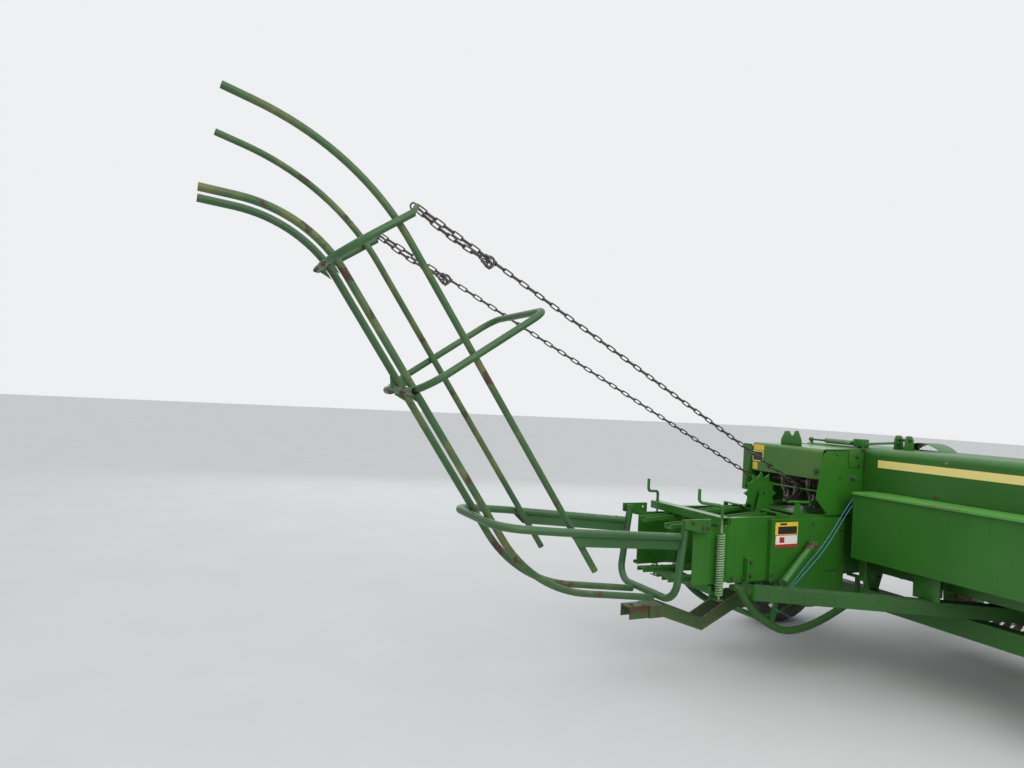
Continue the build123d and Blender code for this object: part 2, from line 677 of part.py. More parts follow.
hub_radius = 55
for name, y in (("right", track_right), ("left", track_left)):
    side = 1 if y > 0 else -1
    with BuildPart() as rim:
        with BuildSketch(Plane.YZ):
            with BuildLine():
                FilletPolyline((y - rim_wide / 2, rim_radius + 9), (y - rim_wide / 2 + 10, rim_radius),
                               (y - 30, rim_radius), (y - 24, rim_radius - 26), (y + 24, rim_radius - 26),
                               (y + 30, rim_radius), (y + rim_wide / 2 - 10, rim_radius),
                               (y + rim_wide / 2, rim_radius + 9), radius=4)
                offset(amount=4, side=Side.RIGHT)
            make_face()
        revolve(axis=Axis((0, 0, 0), (0, 1, 0)))
        with BuildSketch(Plane.YZ):
            with BuildLine():
                Polyline((y + side * 20, rim_radius - 28), (y + side * 20, 150), (y + side * 44, 110),
                         (y + side * 30, hub_radius), (y + side * 24, hub_radius), (y + side * 38, 110),
                         (y + side * 14, 150), (y + side * 14, rim_radius - 28), close=True)
            make_face()
        revolve(axis=Axis((0, 0, 0), (0, 1, 0)))
        add(pin(0, 0, (y - 60, y + 60), hub_radius, spindle / 2 + 0.05))
        add(pin(0, 0, (y + side * 60, y + side * 78), 34))
    rim.part = rim.part.moved(Location((axle_x, 0, wheel_radius)))
    with BuildPart() as tyre:
        with BuildSketch(Plane.YZ):
            with BuildLine():
                half, bead = tyre_wide / 2, rim_radius + seat
                Polyline((y - 62, bead), (y - 64, bead + 15), (y - half + 10, bead + 40),
                         (y - half, bead + 80),
                         (y - half + 20, wheel_radius - 24), (y - half + 50, wheel_radius - 3),
                         (y - 14, wheel_radius), (y - 10, wheel_radius - 12),
                         (y + 10, wheel_radius - 12), (y + 14, wheel_radius),
                         (y + half - 50, wheel_radius - 3), (y + half - 20, wheel_radius - 24),
                         (y + half, bead + 80), (y + half - 10, bead + 40),
                         (y + 64, bead + 15), (y + 62, bead), (y + 44, bead), (y + 46, bead + 14),
                         (y + half - 28, bead + 70), (y + half - 60, wheel_radius - 30),
                         (y - half + 60, wheel_radius - 30), (y - half + 28, bead + 70), (y - 46, bead + 14),
                         (y - 44, bead), close=True)
            make_face()
        revolve(axis=Axis((0, 0, 0), (0, 1, 0)))
    tyre.part = tyre.part.moved(Location((axle_x, 0, wheel_radius)))
    if name == "right":
        wheel_right, tyre_right = rim, tyre
    else:
        wheel_left, tyre_left = rim, tyre

# Pickup: cross tube and side plates, stripper bands, tined reel, wind guard and gauge wheel
hx, hz = pickup_hinge
gauge_x, gauge_z, gauge_y = reel_x + 60, gauge_radius + 8, pickup_outer - 95
with BuildPart() as pickup_frame:
    add(pin(hx, hz, (pickup_outer, pickup_inner), 20))
    side_points = [(hx - 28, hz - 28), (hx + 60, hz - 120), (reel_x - 232, reel_z - 222),
                   (reel_x + 90, reel_z - 222), (reel_x + 235, reel_z - 60), (reel_x + 225, reel_z + 120),
                   (reel_x + 60, reel_z + 235), (hx + 60, hz + 76), (hx - 20, hz + 34)]
    for y in (pickup_outer, pickup_inner - 6):
        add(plate_xz(side_points, (y, y + 6), [(reel_x, reel_z, 18.05)]))
    add(plate_xz([(gauge_x - 24, gauge_z - 24), (gauge_x + 24, gauge_z - 24), (reel_x + 60, reel_z - 40),
                  (reel_x - 30, reel_z - 20), (reel_x - 60, reel_z - 60)],
                 (pickup_outer - 14, pickup_outer - seat)))
    add(pin(gauge_x, gauge_z, (gauge_y - gauge_wide / 2 - 12, pickup_outer - 14), 12))

band_count = int((pickup_inner - pickup_outer - 60) / stripper_pitch)
band_y = [pickup_outer + 38 + stripper_pitch * (i + 0.5) for i in range(band_count)]
with BuildPart() as pickup_strippers:
    with BuildSketch(Plane.XZ.offset(-(band_y[0] + stripper_wide / 2))):
        with BuildLine():
            r = stripper_radius
            FilletPolyline((reel_x - 198, reel_z - r + 8), (reel_x - 60, reel_z - r),
                           (reel_x + 110, reel_z - r), (reel_x + r, reel_z - 60),
                           (reel_x + r, reel_z + 70), (reel_x + 80, reel_z + r),
                           (hx + 60, hz + 70), radius=60)
            offset(amount=3, side=Side.LEFT)
        make_face()
    extrude(amount=stripper_wide)
    band = pickup_strippers.part
    for y in band_y[1:]:
        add(band.moved(Location((0, y - band_y[0], 0))))
    between = (pickup_outer + 6 + seat, pickup_inner - 6 - seat)
    add(block((hx + 40, hx + 76), between, (hz + 58, hz + 72)))
    # The lower bar lies beyond the tines' reach
    add(block((reel_x - 222, reel_x - 196), between, (reel_z - r - 4, reel_z - r + 18)))

with BuildPart() as pickup_reel:
    add(pin(reel_x, reel_z, (pickup_outer - 60, pickup_inner + 20), 18))
    add(pin(reel_x, reel_z, (pickup_outer + 20, pickup_inner - 20), reel_tube / 2))
    bar_radius = stripper_radius - 62
    for spoke in range(4):
        angle = 20 + 90 * spoke
        ux, uz = cos(radians(angle)), sin(radians(angle))
        add(pin(reel_x + bar_radius * ux, reel_z + bar_radius * uz,
                (pickup_outer + 22, pickup_inner - 22), 13))
        for y in (pickup_outer + 22, pickup_inner - 30):
            with BuildSketch(Plane.XZ.offset(-(y + 8))):
                with Locations(Location((reel_x + bar_radius * ux / 2, reel_z + bar_radius * uz / 2), angle)):
                    Rectangle(bar_radius, 40)
            extrude(amount=8)
        for i in range(band_count - 1):
            y = (band_y[i] + band_y[i + 1]) / 2
            with BuildSketch(Plane.XZ.offset(-(y + 3.5))):
                reach = tine_reach - bar_radius
                middle = bar_radius + reach / 2
                with Locations(Location((reel_x + middle * ux, reel_z + middle * uz), angle)):
                    Rectangle(reach, 7)
            extrude(amount=7)

with BuildPart() as pickup_guard:
    add(pin(reel_x + 70, reel_z + 300, (pickup_outer - 5, pickup_inner + 5), 14))
    for near, way in ((pickup_outer, -1), (pickup_inner, 1)):
        add(plate_xz([(reel_x - 20, reel_z + 205), (reel_x + 30, reel_z + 190), (reel_x + 88, reel_z + 300),
                      (reel_x + 52, reel_z + 318)], (near + way * seat, near + way * (seat + 6))))
    for i in range(guard_rods):
        y = pickup_outer + 90 + i * (pickup_inner - pickup_outer - 180) / (guard_rods - 1)
        add(tube([(reel_x + 70, y, reel_z + 300), (reel_x - 130, y, reel_z + 340), (hx - 60, y, hz + 250)],
                 [160], 10))

with BuildPart() as gauge_wheel:
    add(pin(gauge_x, gauge_z, (gauge_y - gauge_wide / 2, gauge_y + gauge_wide / 2), gauge_radius, 12.05))
    fillet(gauge_wheel.edges().filter_by(GeomType.CIRCLE).filter_by(lambda e: e.radius > 100), radius=22)

# Main frame at the front, with the plates that hold the tongue's pivot
frame_top, frame_low = case_low - seat, tongue_low - sill_high_gap
sill_front = swing_x - 110
sill_rear = sill_front - sill_long
plate_thick = 14
with BuildPart() as main_frame:
    for side in (-1, 1):
        add(block((sill_rear, sill_front), (side * 165, side * 225), (frame_low, frame_top)))
        add(block((sill_rear - 10, sill_front + 10), (side * 171, side * 240),
                  (frame_low + 8, frame_top - 8)), mode=Mode.SUBTRACT)
    for z in (frame_low - plate_thick, tongue_low + tongue_size + sill_high_gap):
        with BuildSketch(Plane.XY.offset(z)):
            with BuildLine():
                Polyline((sill_front - 70, -225), (sill_front + 10, -225), (swing_x + 70, -60),
                         (swing_x + 70, 60), (sill_front + 10, 225), (sill_front - 70, 225), close=True)
            make_face()
            with Locations((swing_x, 0)):
                Circle(21, mode=Mode.SUBTRACT)
        extrude(amount=plate_thick)
    for x, high in ((sill_rear + 20, 60), (sill_front - 70, 120)):
        add(block((x, x + 60), (-165, 165), (frame_low, frame_low + high)))
    # The tongue's pin stands in the two plates
    with Locations((swing_x, 0, tongue_low + tongue_size / 2)):
        Cylinder(22, tongue_size + 40)

# Crankcase with its cover, and the flywheel
with BuildPart() as crankcase:
    with BuildSketch(Plane.YZ.offset(crank_rear)):
        with Locations((0, (frame_top + seat + 1040) / 2)):
            RectangleRounded(2 * crank_half, 1040 - frame_top - seat, 40)
    extrude(amount=crank_front - crank_rear - crank_cover)
    with BuildSketch(Plane.YZ.offset(crank_front - crank_cover)):
        with Locations((0, drive_z)):
            Circle(150)
    with BuildSketch(Plane.YZ.offset(crank_front)):
        with Locations((0, drive_z)):
            Circle(75)
    loft()
    with BuildSketch(Plane.YZ.offset(crank_rear + 20)):
        with Locations((0, 1040 + 20)):
            Rectangle(2 * crank_half - 90, 40)
    extrude(amount=crank_front - crank_rear - 110)

with BuildPart() as flywheel:
    with BuildSketch(Plane.XZ):
        with BuildLine():
            x0, x1, rf = flywheel_x, flywheel_x + flywheel_wide, flywheel_radius
            Polyline((crank_front + seat, 0), (crank_front + seat, 30), (x0 - 10, 30), (x0 - 10, 62),
                     (x0 + 30, 66), (x0 + 32, rf - 55), (x0, rf - 45), (x0, rf), (x1, rf), (x1, rf - 45),
                     (x0 + 52, rf - 55), (x0 + 54, 66), (x1 + 10, 60), (x1 + 10, 34), (swing_x - 20, 30),
                     (swing_x - 20, 0), close=True)
        make_face()
    revolve(axis=Axis((0, 0, 0), (1, 0, 0)))
    with BuildSketch(Plane.YZ.offset(flywheel_x - 20)):
        with PolarLocations((rf - 55 + 66) / 2, 5):
            Circle(42)
    extrude(amount=flywheel_wide + 40, mode=Mode.SUBTRACT)
flywheel.part = flywheel.part.moved(Location((0, 0, drive_z)))

with BuildPart() as flywheel_guard:
    with BuildSketch(Plane.YZ.offset(flywheel_x - 8)):
        Circle(flywheel_radius + 34)
        Circle(flywheel_radius + 29, mode=Mode.SUBTRACT)
        with Locations((0, -flywheel_radius / 2 - 60)):
            Rectangle(3 * flywheel_radius, flywheel_radius + 120, mode=Mode.SUBTRACT)
    extrude(amount=flywheel_wide + 30)
    with BuildSketch(Plane.YZ.offset(flywheel_x - 14)):
        Circle(flywheel_radius + 34)
        with Locations((0, -flywheel_radius / 2 - 60)):
            Rectangle(3 * flywheel_radius, flywheel_radius + 120, mode=Mode.SUBTRACT)
        Circle(90, mode=Mode.SUBTRACT)
    extrude(amount=6)
    with BuildSketch(Plane.YZ.offset(crank_front - crank_cover + seat)):
        with Locations((-150, 170), (150, 170)):
            Circle(14)
    extrude(amount=flywheel_x - 14 - crank_front + crank_cover - seat)
flywheel_guard.part = flywheel_guard.part.moved(Location((0, 0, drive_z)))

# Drive to the knotters: a bevel box on their shaft and a covered shaft along the left side
drive_y = hood_left + 52
with BuildPart() as knotter_drive:
    add(block((shaft_x - 62, shaft_x + 62), (hood_left + seat, hood_left + 96), (shaft_z - 60, shaft_z + 60)))
    add(tube([(shaft_x + 62, drive_y, shaft_z), (crank_rear + 70, drive_y - 70, 985)], [], 56))
    add(block((crank_rear + 40, crank_rear + 130), (crank_half + seat, drive_y - 30), (940, 1030)))

# Tongue with its clevis, hinged to the main frame on a vertical pin
mid_z = tongue_low + tongue_size / 2
with BuildPart() as tongue:
    with BuildSketch(Plane.YZ.offset(swing_x + 40)):
        with Locations((0, mid_z)):
            Rectangle(tongue_size, tongue_size)
            Rectangle(tongue_size - 12, tongue_size - 12, mode=Mode.SUBTRACT)
    extrude(amount=tongue_front - swing_x - 40)
    with BuildSketch(Plane.XY.offset(tongue_low)):
        with Locations((swing_x, 0)):
            Circle(56)
            Circle(22.05, mode=Mode.SUBTRACT)
    extrude(amount=tongue_size)

with BuildPart() as hitch_clevis:
    for z in (mid_z + 22, mid_z - 40):
        with BuildSketch(Plane.XY.offset(z)):
            with Locations(((tongue_front + seat + hitch_x) / 2, 0)):
                Rectangle(hitch_x - tongue_front - seat, 90)
            with Locations((hitch_x, 0)):
                Circle(45)
                Circle(hitch_hole / 2, mode=Mode.SUBTRACT)
        extrude(amount=18)
    add(block((tongue_front + seat, tongue_front + 16), (-tongue_size / 2, tongue_size / 2),
              (tongue_low, tongue_low + tongue_size)))

# Jack that stands the tongue up
with BuildPart() as jack:
    with Locations((jack_x, jack_y, 430)):
        Cylinder(30, 600)
    with Locations((jack_x, jack_y, 70)):
        Cylinder(22, 126)
    with Locations((jack_x, jack_y, 5)):
        Box(140, 140, 10)
    add(pin(jack_x, jack_pin_z, (jack_y - 36 + seat, jack_y), 34))
    with Locations((jack_x, jack_y, 742)):
        Cylinder(9, 30)
    add(tube([(jack_x, jack_y, 750), (jack_x + 120, jack_y, 750), (jack_x + 120, jack_y, 800)], [14], 14))

# Driveline from the flywheel's joint to the front of the tongue, on its stand
drive_front = 4830
drop = 150
with BuildPart() as driveline:
    length = drive_front - swing_x - 60
    slope = Vector(length, 0, -drop).normalized()
    with Locations((swing_x, 0, drive_z)):
        Sphere(12)
    for start, end, radius in ((-24, 0, 9), (0, 40, 34), (40, 560, 46), (560, length - 40, 38),
                               (length - 40, length, 30)):
        with BuildSketch(Plane(origin=Vector(swing_x + 30, 0, drive_z) + slope * start, z_dir=slope)):
            Circle(radius)
        extrude(amount=end - start)
    with BuildSketch(Plane(origin=Vector(swing_x + 30, 0, drive_z) + slope * length, z_dir=slope)):
        Circle(pto_bore)
    extrude(amount=-pto_deep, mode=Mode.SUBTRACT)

# Brackets on the tongue for the jack and the driveline
with BuildPart() as tongue_brackets:
    add(block((jack_x - 60, jack_x + 60), (tongue_size / 2 + seat, tongue_size / 2 + 10),
              (jack_pin_z - 45, jack_pin_z + 45)))
    add(pin(jack_x, jack_pin_z, (tongue_size / 2 + 10, jack_y - 36), 20))
    x = 4640
    z = drive_z - drop * (x - swing_x - 30) / length
    add(block((x - 8, x + 8), (-34, 34), (tongue_low + tongue_size + seat, z - 38 - 4)))
    add(block((x - 40, x + 40), (-50, 50), (tongue_low + tongue_size + seat, tongue_low + tongue_size + 10)))
    add(block((x - 22, x + 22), (-44, 44), (z - 50, z - 42)))
    for side in (-1, 1):
        add(block((x - 22, x + 22), (side * 41, side * 48), (z - 50, z + 10)))

# Wagon hitch under the rear of the case
with BuildPart() as wagon_hitch:
    with BuildSketch(Plane.YZ.offset(-190)):
        with Locations((0, 375)):
            Rectangle(96, 70)
        with Locations((0, 365)):
            Rectangle(80, 70, mode=Mode.SUBTRACT)
    extrude(amount=230)
    with Locations((-150, 0, 406)):
        Cylinder(16, 30, mode=Mode.SUBTRACT)
    for side in (-1, 1):
        with BuildSketch(Plane.XZ.offset(-max(side * 48, side * 60))):
            with BuildLine():
                Polyline((-60, 340), (40, 340), (330, 236), (640, 372), (860, 372), (860, 442),
                         (600, 442), (330, 310), (60, 410), (-60, 410), close=True)
            make_face()
        extrude(amount=12)
        add(block((790, 860), (side * 60, side * 72), (372, floor_top - case_wall - seat)))
    add(block((320, 340), (-48, 48), (245, 300)))

# Chute cradle: the hoop that hangs at the rear of the case
with BuildPart() as chute_cradle:
    fx, fz = cradle_foot
    lean = fx / (cradle_pivot_z - fz)
    add(tube([(-lean * 16, -cradle_half, cradle_pivot_z + 16), (fx, -cradle_half, fz), (fx, cradle_half, fz),
              (-lean * 16, cradle_half, cradle_pivot_z + 16)], [cradle_bend, cradle_bend], cradle_tube))
    for side in (-1, 1):
        add(pin(0, cradle_pivot_z, (side * 200, side * 360), 8.05), mode=Mode.SUBTRACT)

rise = tan(radians(table_rise))
steep = radians(side_heading)
low_corners, low_radii = rail_corners(low_start, low_heading, low_path)
turn_reach = low_path[1][1] * tan((steep - radians(low_heading)) / 2)
turn_x = low_corners[1][0] - turn_reach * cos(steep)
turn_z = low_corners[1][1] + turn_reach * sin(steep)


def leg_rear(z):
    """Rear face of the cradle's leg at a height."""
    return fx * (cradle_pivot_z - z) / (cradle_pivot_z - fz) - cradle_tube / 2 * 1.01 - seat


# The table's end tube lies against the long run of the lower rails
touch = (low_tube + table_tube) / 2 + seat
table_length = ((touch - turn_x * sin(steep) + (table_z - turn_z) * cos(steep))
                / (sin(steep) - rise * cos(steep)))
table_start = leg_rear(table_z) - 9
with BuildPart() as chute_table:
    def table_point(x, y):
        return (x, y, table_z - rise * x)
    add(tube([table_point(table_start, -cradle_half), table_point(table_spread_x, -table_spread),
              table_point(-table_length, -table_end), table_point(-table_length, table_end),
              table_point(table_spread_x, table_spread), table_point(table_start, cradle_half)],
             [500, table_bend, table_bend, 500], table_tube))
    # Side plates below the tubes, cut off on a slant at their rear ends
    plate_gap = table_tube / 2 * 1.01 + seat
    spread = (table_spread - cradle_half) / (table_start - table_spread_x)
    for side in (-1, 1):
        with BuildSketch(Plane(origin=(table_start, side * (cradle_half - 3), 0),
                               x_dir=(-1, side * spread, 0), z_dir=(side * spread, 1, 0))):
            with BuildLine():
                far = 740
                Polyline((0, table_z - plate_gap - rise * table_start),
                         (far, table_z - plate_gap + rise * (far - table_start)),
                         (far - 60, table_z - plate_gap - 50 + rise * (far - 60 - table_start)),
                         (table_start - leg_rear(table_z - table_plate) + 2, table_z - table_plate),
                         (table_start - leg_rear(table_z - table_plate - 60) + 2, table_z - table_plate - 60),
                         (table_start - leg_rear(table_z - 30) + 2, table_z - 30), close=True)
            make_face()
        extrude(amount=6)

with BuildPart() as chute_lower_rails:
    for side in (-1, 1):
        begin = fx - cradle_tube / 2 - seat - low_tube / 2 * sin(radians(low_heading))
        begin_z = low_corners[0][1] + (low_start[0] - begin) * tan(radians(low_heading))
        corners = [(begin, side * low_half, begin_z)]
        corners += [(x, side * low_half, z) for x, z in low_corners[1:]]
        add(tube(corners, low_radii, low_tube, 3))

side_corners, side_radii = rail_corners(side_start, side_heading, side_path)
with BuildPart() as chute_side_rails:
    for side in (-1, 1):
        add(tube([(x, side * side_half, z) for x, z in side_corners], side_radii, side_tube, 3))

# Hoops across the chute, square to the long run of the rails
hoop_half = side_half + side_tube / 2 + hoop_tube / 2 + seat
below = low_tube / 2 + hoop_tube / 2 + seat
mid_cross = (turn_x - mid_along * cos(steep), turn_z + mid_along * sin(steep))
bend_x, bend_z = turn_x - low_path[2][1] * cos(steep), turn_z + low_path[2][1] * sin(steep)
over = steep - radians(upper_turn)
upper_cross = (bend_x - low_path[3][1] * (sin(steep) - sin(over)),
               bend_z + low_path[3][1] * (cos(over) - cos(steep)))


def on_hoop(cross, along, y):
    """A point on a hoop's plane, so far forward and up of the lower rails."""
    return (cross[0] + along * sin(steep), y, cross[1] + along * cos(steep))


with BuildPart() as chute_middle_hoop:
    with BuildLine() as path:
        FilletPolyline(on_hoop(mid_cross, -below, -hoop_half), on_hoop(mid_cross, -below, hoop_half),
                       on_hoop(mid_cross, mid_length - below, hoop_half),
                       on_hoop(mid_cross, mid_length - below, -hoop_half),
                       radius=[mid_bend_low, mid_bend_low, mid_bend_top, mid_bend_top], close=True)
    first = path.edges().sort_by(Axis.Y)[0]
    with BuildSketch(Plane(origin=first @ 0.5, z_dir=first % 0.5)):
        Circle(hoop_tube / 2)
    sweep(path=path.wire())

hook_lift = 24                  # how far the hooks' pins stand above the ends of the hoop's legs
hook_x, _, hook_z = on_hoop(upper_cross, upper_length - below + 14, 0)
hook_z += hook_lift
with BuildPart() as chute_upper_hoop:
    low = below + 2
    add(tube([on_hoop(upper_cross, upper_length - low, -hoop_half), on_hoop(upper_cross, -low, -hoop_half),
              on_hoop(upper_cross, -low, hoop_half), on_hoop(upper_cross, upper_length - low, hoop_half)],
             [upper_bend, upper_bend], hoop_tube))
    root = on_hoop(upper_cross, upper_length - low - 12, 0)
    for side in (-1, 1):
        cheek = (side * (hoop_half + link_wire / 2 + seat), side * (hoop_half + link_wire / 2 + seat + 6))
        add(plate_xz([(root[0] - 10, root[2] + 8), (root[0] + 12, root[2] - 8), (hook_x + 10, hook_z - 8),
                      (hook_x + 6, hook_z + 9), (hook_x - 8, hook_z + 8)], cheek))
        add(pin(hook_x, hook_z, (side * (hoop_half - link_wire), side * (hoop_half + link_wire)), anchor_pin))

# Gussets where the hoops cross the lower rails: above and below the middle one, below the upper one
gusset_long = 58
with BuildPart() as chute_gussets:
    for cross, way in ((mid_cross, 1), (mid_cross, -1), (upper_cross, -1)):
        for y in (-low_half, low_half):
            near, high = hoop_tube / 2 + seat, -low_tube / 2 - seat
            corners = [on_hoop(cross, high, y), on_hoop(cross, high, y), on_hoop(cross, -below - 12, y)]
            shifts = (near, near + gusset_long, near)
            add(plate_xz([(c[0] - way * d * cos(steep), c[2] + way * d * sin(steep))
                          for c, d in zip(corners, shifts)], (y - 3, y + 3)))

# Support chains: links held by a pin at each end, every other one turned on edge
def chain(y_top, y_anchor):
    """A straight run of links from the upper hoop's hook to the bar under the hood."""
    top, end = Vector(hook_x, y_top, hook_z), Vector(anchor_x, y_anchor, anchor_z)
    run = end - top
    way = run.normalized()
    count = 2 * int(run.length / link_pitch / 2) + 1
    pitch = (run.length + 2 * anchor_pin) / count
    hole, wide = pitch + 2 * seat, link_wide
    with BuildPart() as link:
        with BuildSketch(Plane.XY):
            long = hole + 2 * link_wire
            with BuildLine():
                Polyline((-long / 2, 0), (-long / 2 + 12, -wide / 2), (long / 2 - 12, -wide / 2),
                         (long / 2, 0), (long / 2 - 12, wide / 2), (-long / 2 + 12, wide / 2), close=True)
            make_face()
            Rectangle(hole, wide - 2 * link_wire, mode=Mode.SUBTRACT)
        extrude(amount=link_wire / 2, both=True)
    links = []
    for i in range(count):
        spot = top + way * (pitch * (i + 0.5) - anchor_pin)
        upright = Vector(0, 1, 0).cross(way) if i % 2 else Vector(0, 1, 0)
        links.append(link.part.moved(Location(Plane(origin=spot, x_dir=way, z_dir=upright))))
    return Compound(children=links)


with BuildPart() as support_chains:
    add(chain(-hoop_half, anchor_y[0]))
    add(chain(hoop_half, anchor_y[1]))

# Beam mounts share a node: the bracket, the strut and the twine box's post stand apart from each other
with BuildPart() as beam_mounts:
    add([beam_bracket.part, strut.part, box_post.part])

# Every piece, shifted to the frame below the middle of the machine
pieces = {
    "case_side_right": case_side_right, "case_side_left": case_side_left, "case_floor": case_floor,
    "case_roof": case_roof, "tension_rails": tension_rails, "rail_hinges": rail_hinges,
    "tension_panels": tension_panels, "tension_yokes": tension_yokes, "tension_springs": tension_springs,
    "tension_cranks": tension_cranks, "chute_hangers": chute_hangers, "star_wheel": star_wheel,
    "trip_linkage": star_post, "knotters": knotters, "knotter_frame": knotter_frame, "hood": hood,
    "hood_ends": hood_ends, "needles": needles, "needle_covers": needle_covers,
    "needle_guards": needle_guards, "beam": beam, "beam_mounts": beam_mounts, "twine_box": twine_box,
    "twine_box_lid": twine_box_lid,
    "feed_housing": feed_housing, "feed_floor": feed_floor, "housing_ends": housing_ends, "auger": auger,
    "top_fittings": top_fittings, "axle": axle, "wheel_right": wheel_right, "tyre_right": tyre_right,
    "wheel_left": wheel_left, "tyre_left": tyre_left, "pickup_frame": pickup_frame,
    "pickup_strippers": pickup_strippers, "pickup_reel": pickup_reel, "pickup_guard": pickup_guard,
    "gauge_wheel": gauge_wheel, "main_frame": main_frame, "crankcase": crankcase, "flywheel": flywheel,
    "flywheel_guard": flywheel_guard, "knotter_drive": knotter_drive, "tongue": tongue,
    "hitch_clevis": hitch_clevis, "tongue_brackets": tongue_brackets, "jack": jack, "driveline": driveline,
    "wagon_hitch": wagon_hitch, "chute_cradle": chute_cradle, "chute_table": chute_table,
    "chute_lower_rails": chute_lower_rails, "chute_side_rails": chute_side_rails,
    "chute_middle_hoop": chute_middle_hoop, "chute_upper_hoop": chute_upper_hoop,
    "chute_gussets": chute_gussets, "support_chains": support_chains,
}

boxes = [piece.part.bounding_box() for piece in pieces.values()]
shift_x = -(min(b.min.X for b in boxes) + max(b.max.X for b in boxes)) / 2
shift_y = -(min(b.min.Y for b in boxes) + max(b.max.Y for b in boxes)) / 2
to_frame = Location((shift_x, shift_y, 0))
for name, piece in pieces.items():
    piece.part = piece.part.moved(to_frame)
    piece.part.label = name
    export_step(piece.part, f"parts/{name}.step")
print("shift", round(shift_x, 3), round(shift_y, 3), "pieces", len(pieces))
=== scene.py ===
# %% [markdown]
# # A small square baler with a wagon chute
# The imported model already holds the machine's exact shape. This lesson dresses it: every surface gets a
# finish made from noise and geometry, and the small things that a CAD model leaves out, such as chain
# links, spring coils, bolts, tyre ribs and twine, are modelled by hand with Blender's own tools.

# %% Load the frame
import json
from math import cos, pi, radians, sin, sqrt

import bpy
from mathutils import Matrix, Vector


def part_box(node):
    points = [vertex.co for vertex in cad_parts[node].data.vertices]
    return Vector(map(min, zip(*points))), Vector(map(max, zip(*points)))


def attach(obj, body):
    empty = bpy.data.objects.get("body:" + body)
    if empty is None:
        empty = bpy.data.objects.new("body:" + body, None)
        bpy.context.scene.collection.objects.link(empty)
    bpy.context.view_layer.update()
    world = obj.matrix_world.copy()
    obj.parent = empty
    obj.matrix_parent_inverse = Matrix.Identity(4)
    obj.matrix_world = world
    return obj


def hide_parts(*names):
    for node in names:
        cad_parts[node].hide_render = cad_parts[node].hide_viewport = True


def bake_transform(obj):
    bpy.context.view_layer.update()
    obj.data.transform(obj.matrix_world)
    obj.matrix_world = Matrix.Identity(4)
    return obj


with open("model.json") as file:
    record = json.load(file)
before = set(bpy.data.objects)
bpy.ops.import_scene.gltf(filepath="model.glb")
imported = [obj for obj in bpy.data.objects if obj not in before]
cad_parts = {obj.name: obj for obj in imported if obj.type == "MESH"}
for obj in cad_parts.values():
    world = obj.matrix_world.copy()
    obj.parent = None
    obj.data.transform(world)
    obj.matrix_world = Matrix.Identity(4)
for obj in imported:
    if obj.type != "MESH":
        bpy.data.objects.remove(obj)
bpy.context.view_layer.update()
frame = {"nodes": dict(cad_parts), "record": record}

nodes = frame["nodes"]

# %% [markdown]
# ## Measures
# The machine is described from its own bale case: X forward from the case's rear edge, Y to the left of
# its centre plane, Z up from the ground, in millimetres. `spot` turns such a place into the frame's metres,
# so that a bolt or a plate is placed with the numbers that a builder would read off the machine.

# %% Measures
MM = 0.001
SIDE_START = 360                # the fixed side plates begin this far ahead of the case's rear edge
right_side, left_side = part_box("case_side_right"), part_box("case_side_left")
REAR = right_side[0].x - SIDE_START * MM
MIDDLE = (right_side[0].y + left_side[1].y) / 2


def spot(x, y, z):
    """A place on the machine, given in its own millimetres, in metres of the frame."""
    return Vector((REAR + x * MM, MIDDLE + y * MM, z * MM))


def into_scene(name, data):
    """Makes an object from its data and links it to the scene."""
    made = bpy.data.objects.new(name, data)
    bpy.context.scene.collection.objects.link(made)
    return made


RIGHT, LEFT, BACK, FRONT, UP = (0, -1, 0), (0, 1, 0), (-1, 0, 0), (1, 0, 0), (0, 0, 1)
SIDES = (-1, 1)                 # right and left, as the sign of Y
print("datum at", round(REAR, 4), round(MIDDLE, 4))

# %% [markdown]
# ## Camera
# The photograph was taken from behind and to the right, a little above the hood, with a wide lens held
# slightly askew. The camera repeats that place, heading, tilt and roll. A Track To constraint could aim it,
# but would level it, so its three directions are worked out and put in a matrix.

# %% Camera
YAW, PITCH, ROLL = radians(25.2), radians(1.28), radians(3.03)
LENS, CAMERA_AT = 24.585, (-2589, -3392, 1568)
level_right = Vector((cos(YAW), -sin(YAW), 0))
forward = Vector((sin(YAW) * cos(PITCH), cos(YAW) * cos(PITCH), sin(PITCH)))
level_up = level_right.cross(forward)
right = level_right * cos(ROLL) + level_up * sin(ROLL)
up = level_up * cos(ROLL) - level_right * sin(ROLL)

camera_data = bpy.data.cameras.new("photo_camera")
camera_data.sensor_width = 36
camera_data.lens = LENS
camera_data.clip_end = 200
camera = into_scene("photo_camera", camera_data)
view_turn = Matrix((right, up, -forward)).transposed().to_4x4()
camera.matrix_world = Matrix.Translation(spot(*CAMERA_AT)) @ view_turn
bpy.context.scene.camera = camera
bpy.context.scene.view_settings.view_transform = "Standard"
print("camera at", [round(c, 3) for c in camera.location])

# %% [markdown]
# ## Node tools
# A material is a tree of nodes. They could be linked one by one, but a tree of thirty nodes is then hard to
# read. So `put` adds a node and feeds its sockets, from another node or with a plain value, `new_group` opens
# a node group that puts out one mask, and `use_group` places it. The commonest nodes have a helper each.

# %% Node tools
def feed(tree, made, feeds):
    """Feeds a node's input sockets with plain values, sockets, or the first output of other nodes."""
    for socket, value in feeds.items():
        if isinstance(value, bpy.types.Node):
            value = value.outputs[0]
        if isinstance(value, bpy.types.NodeSocket):
            tree.links.new(value, made.inputs[socket])
        else:
            made.inputs[socket].default_value = value
    return made


def put(tree, kind, feeds=None, **settings):
    """Adds a shader node with its settings and feeds."""
    made = tree.nodes.new("ShaderNode" + kind)
    for setting, value in settings.items():
        setattr(made, setting, value)
    return feed(tree, made, feeds or {})


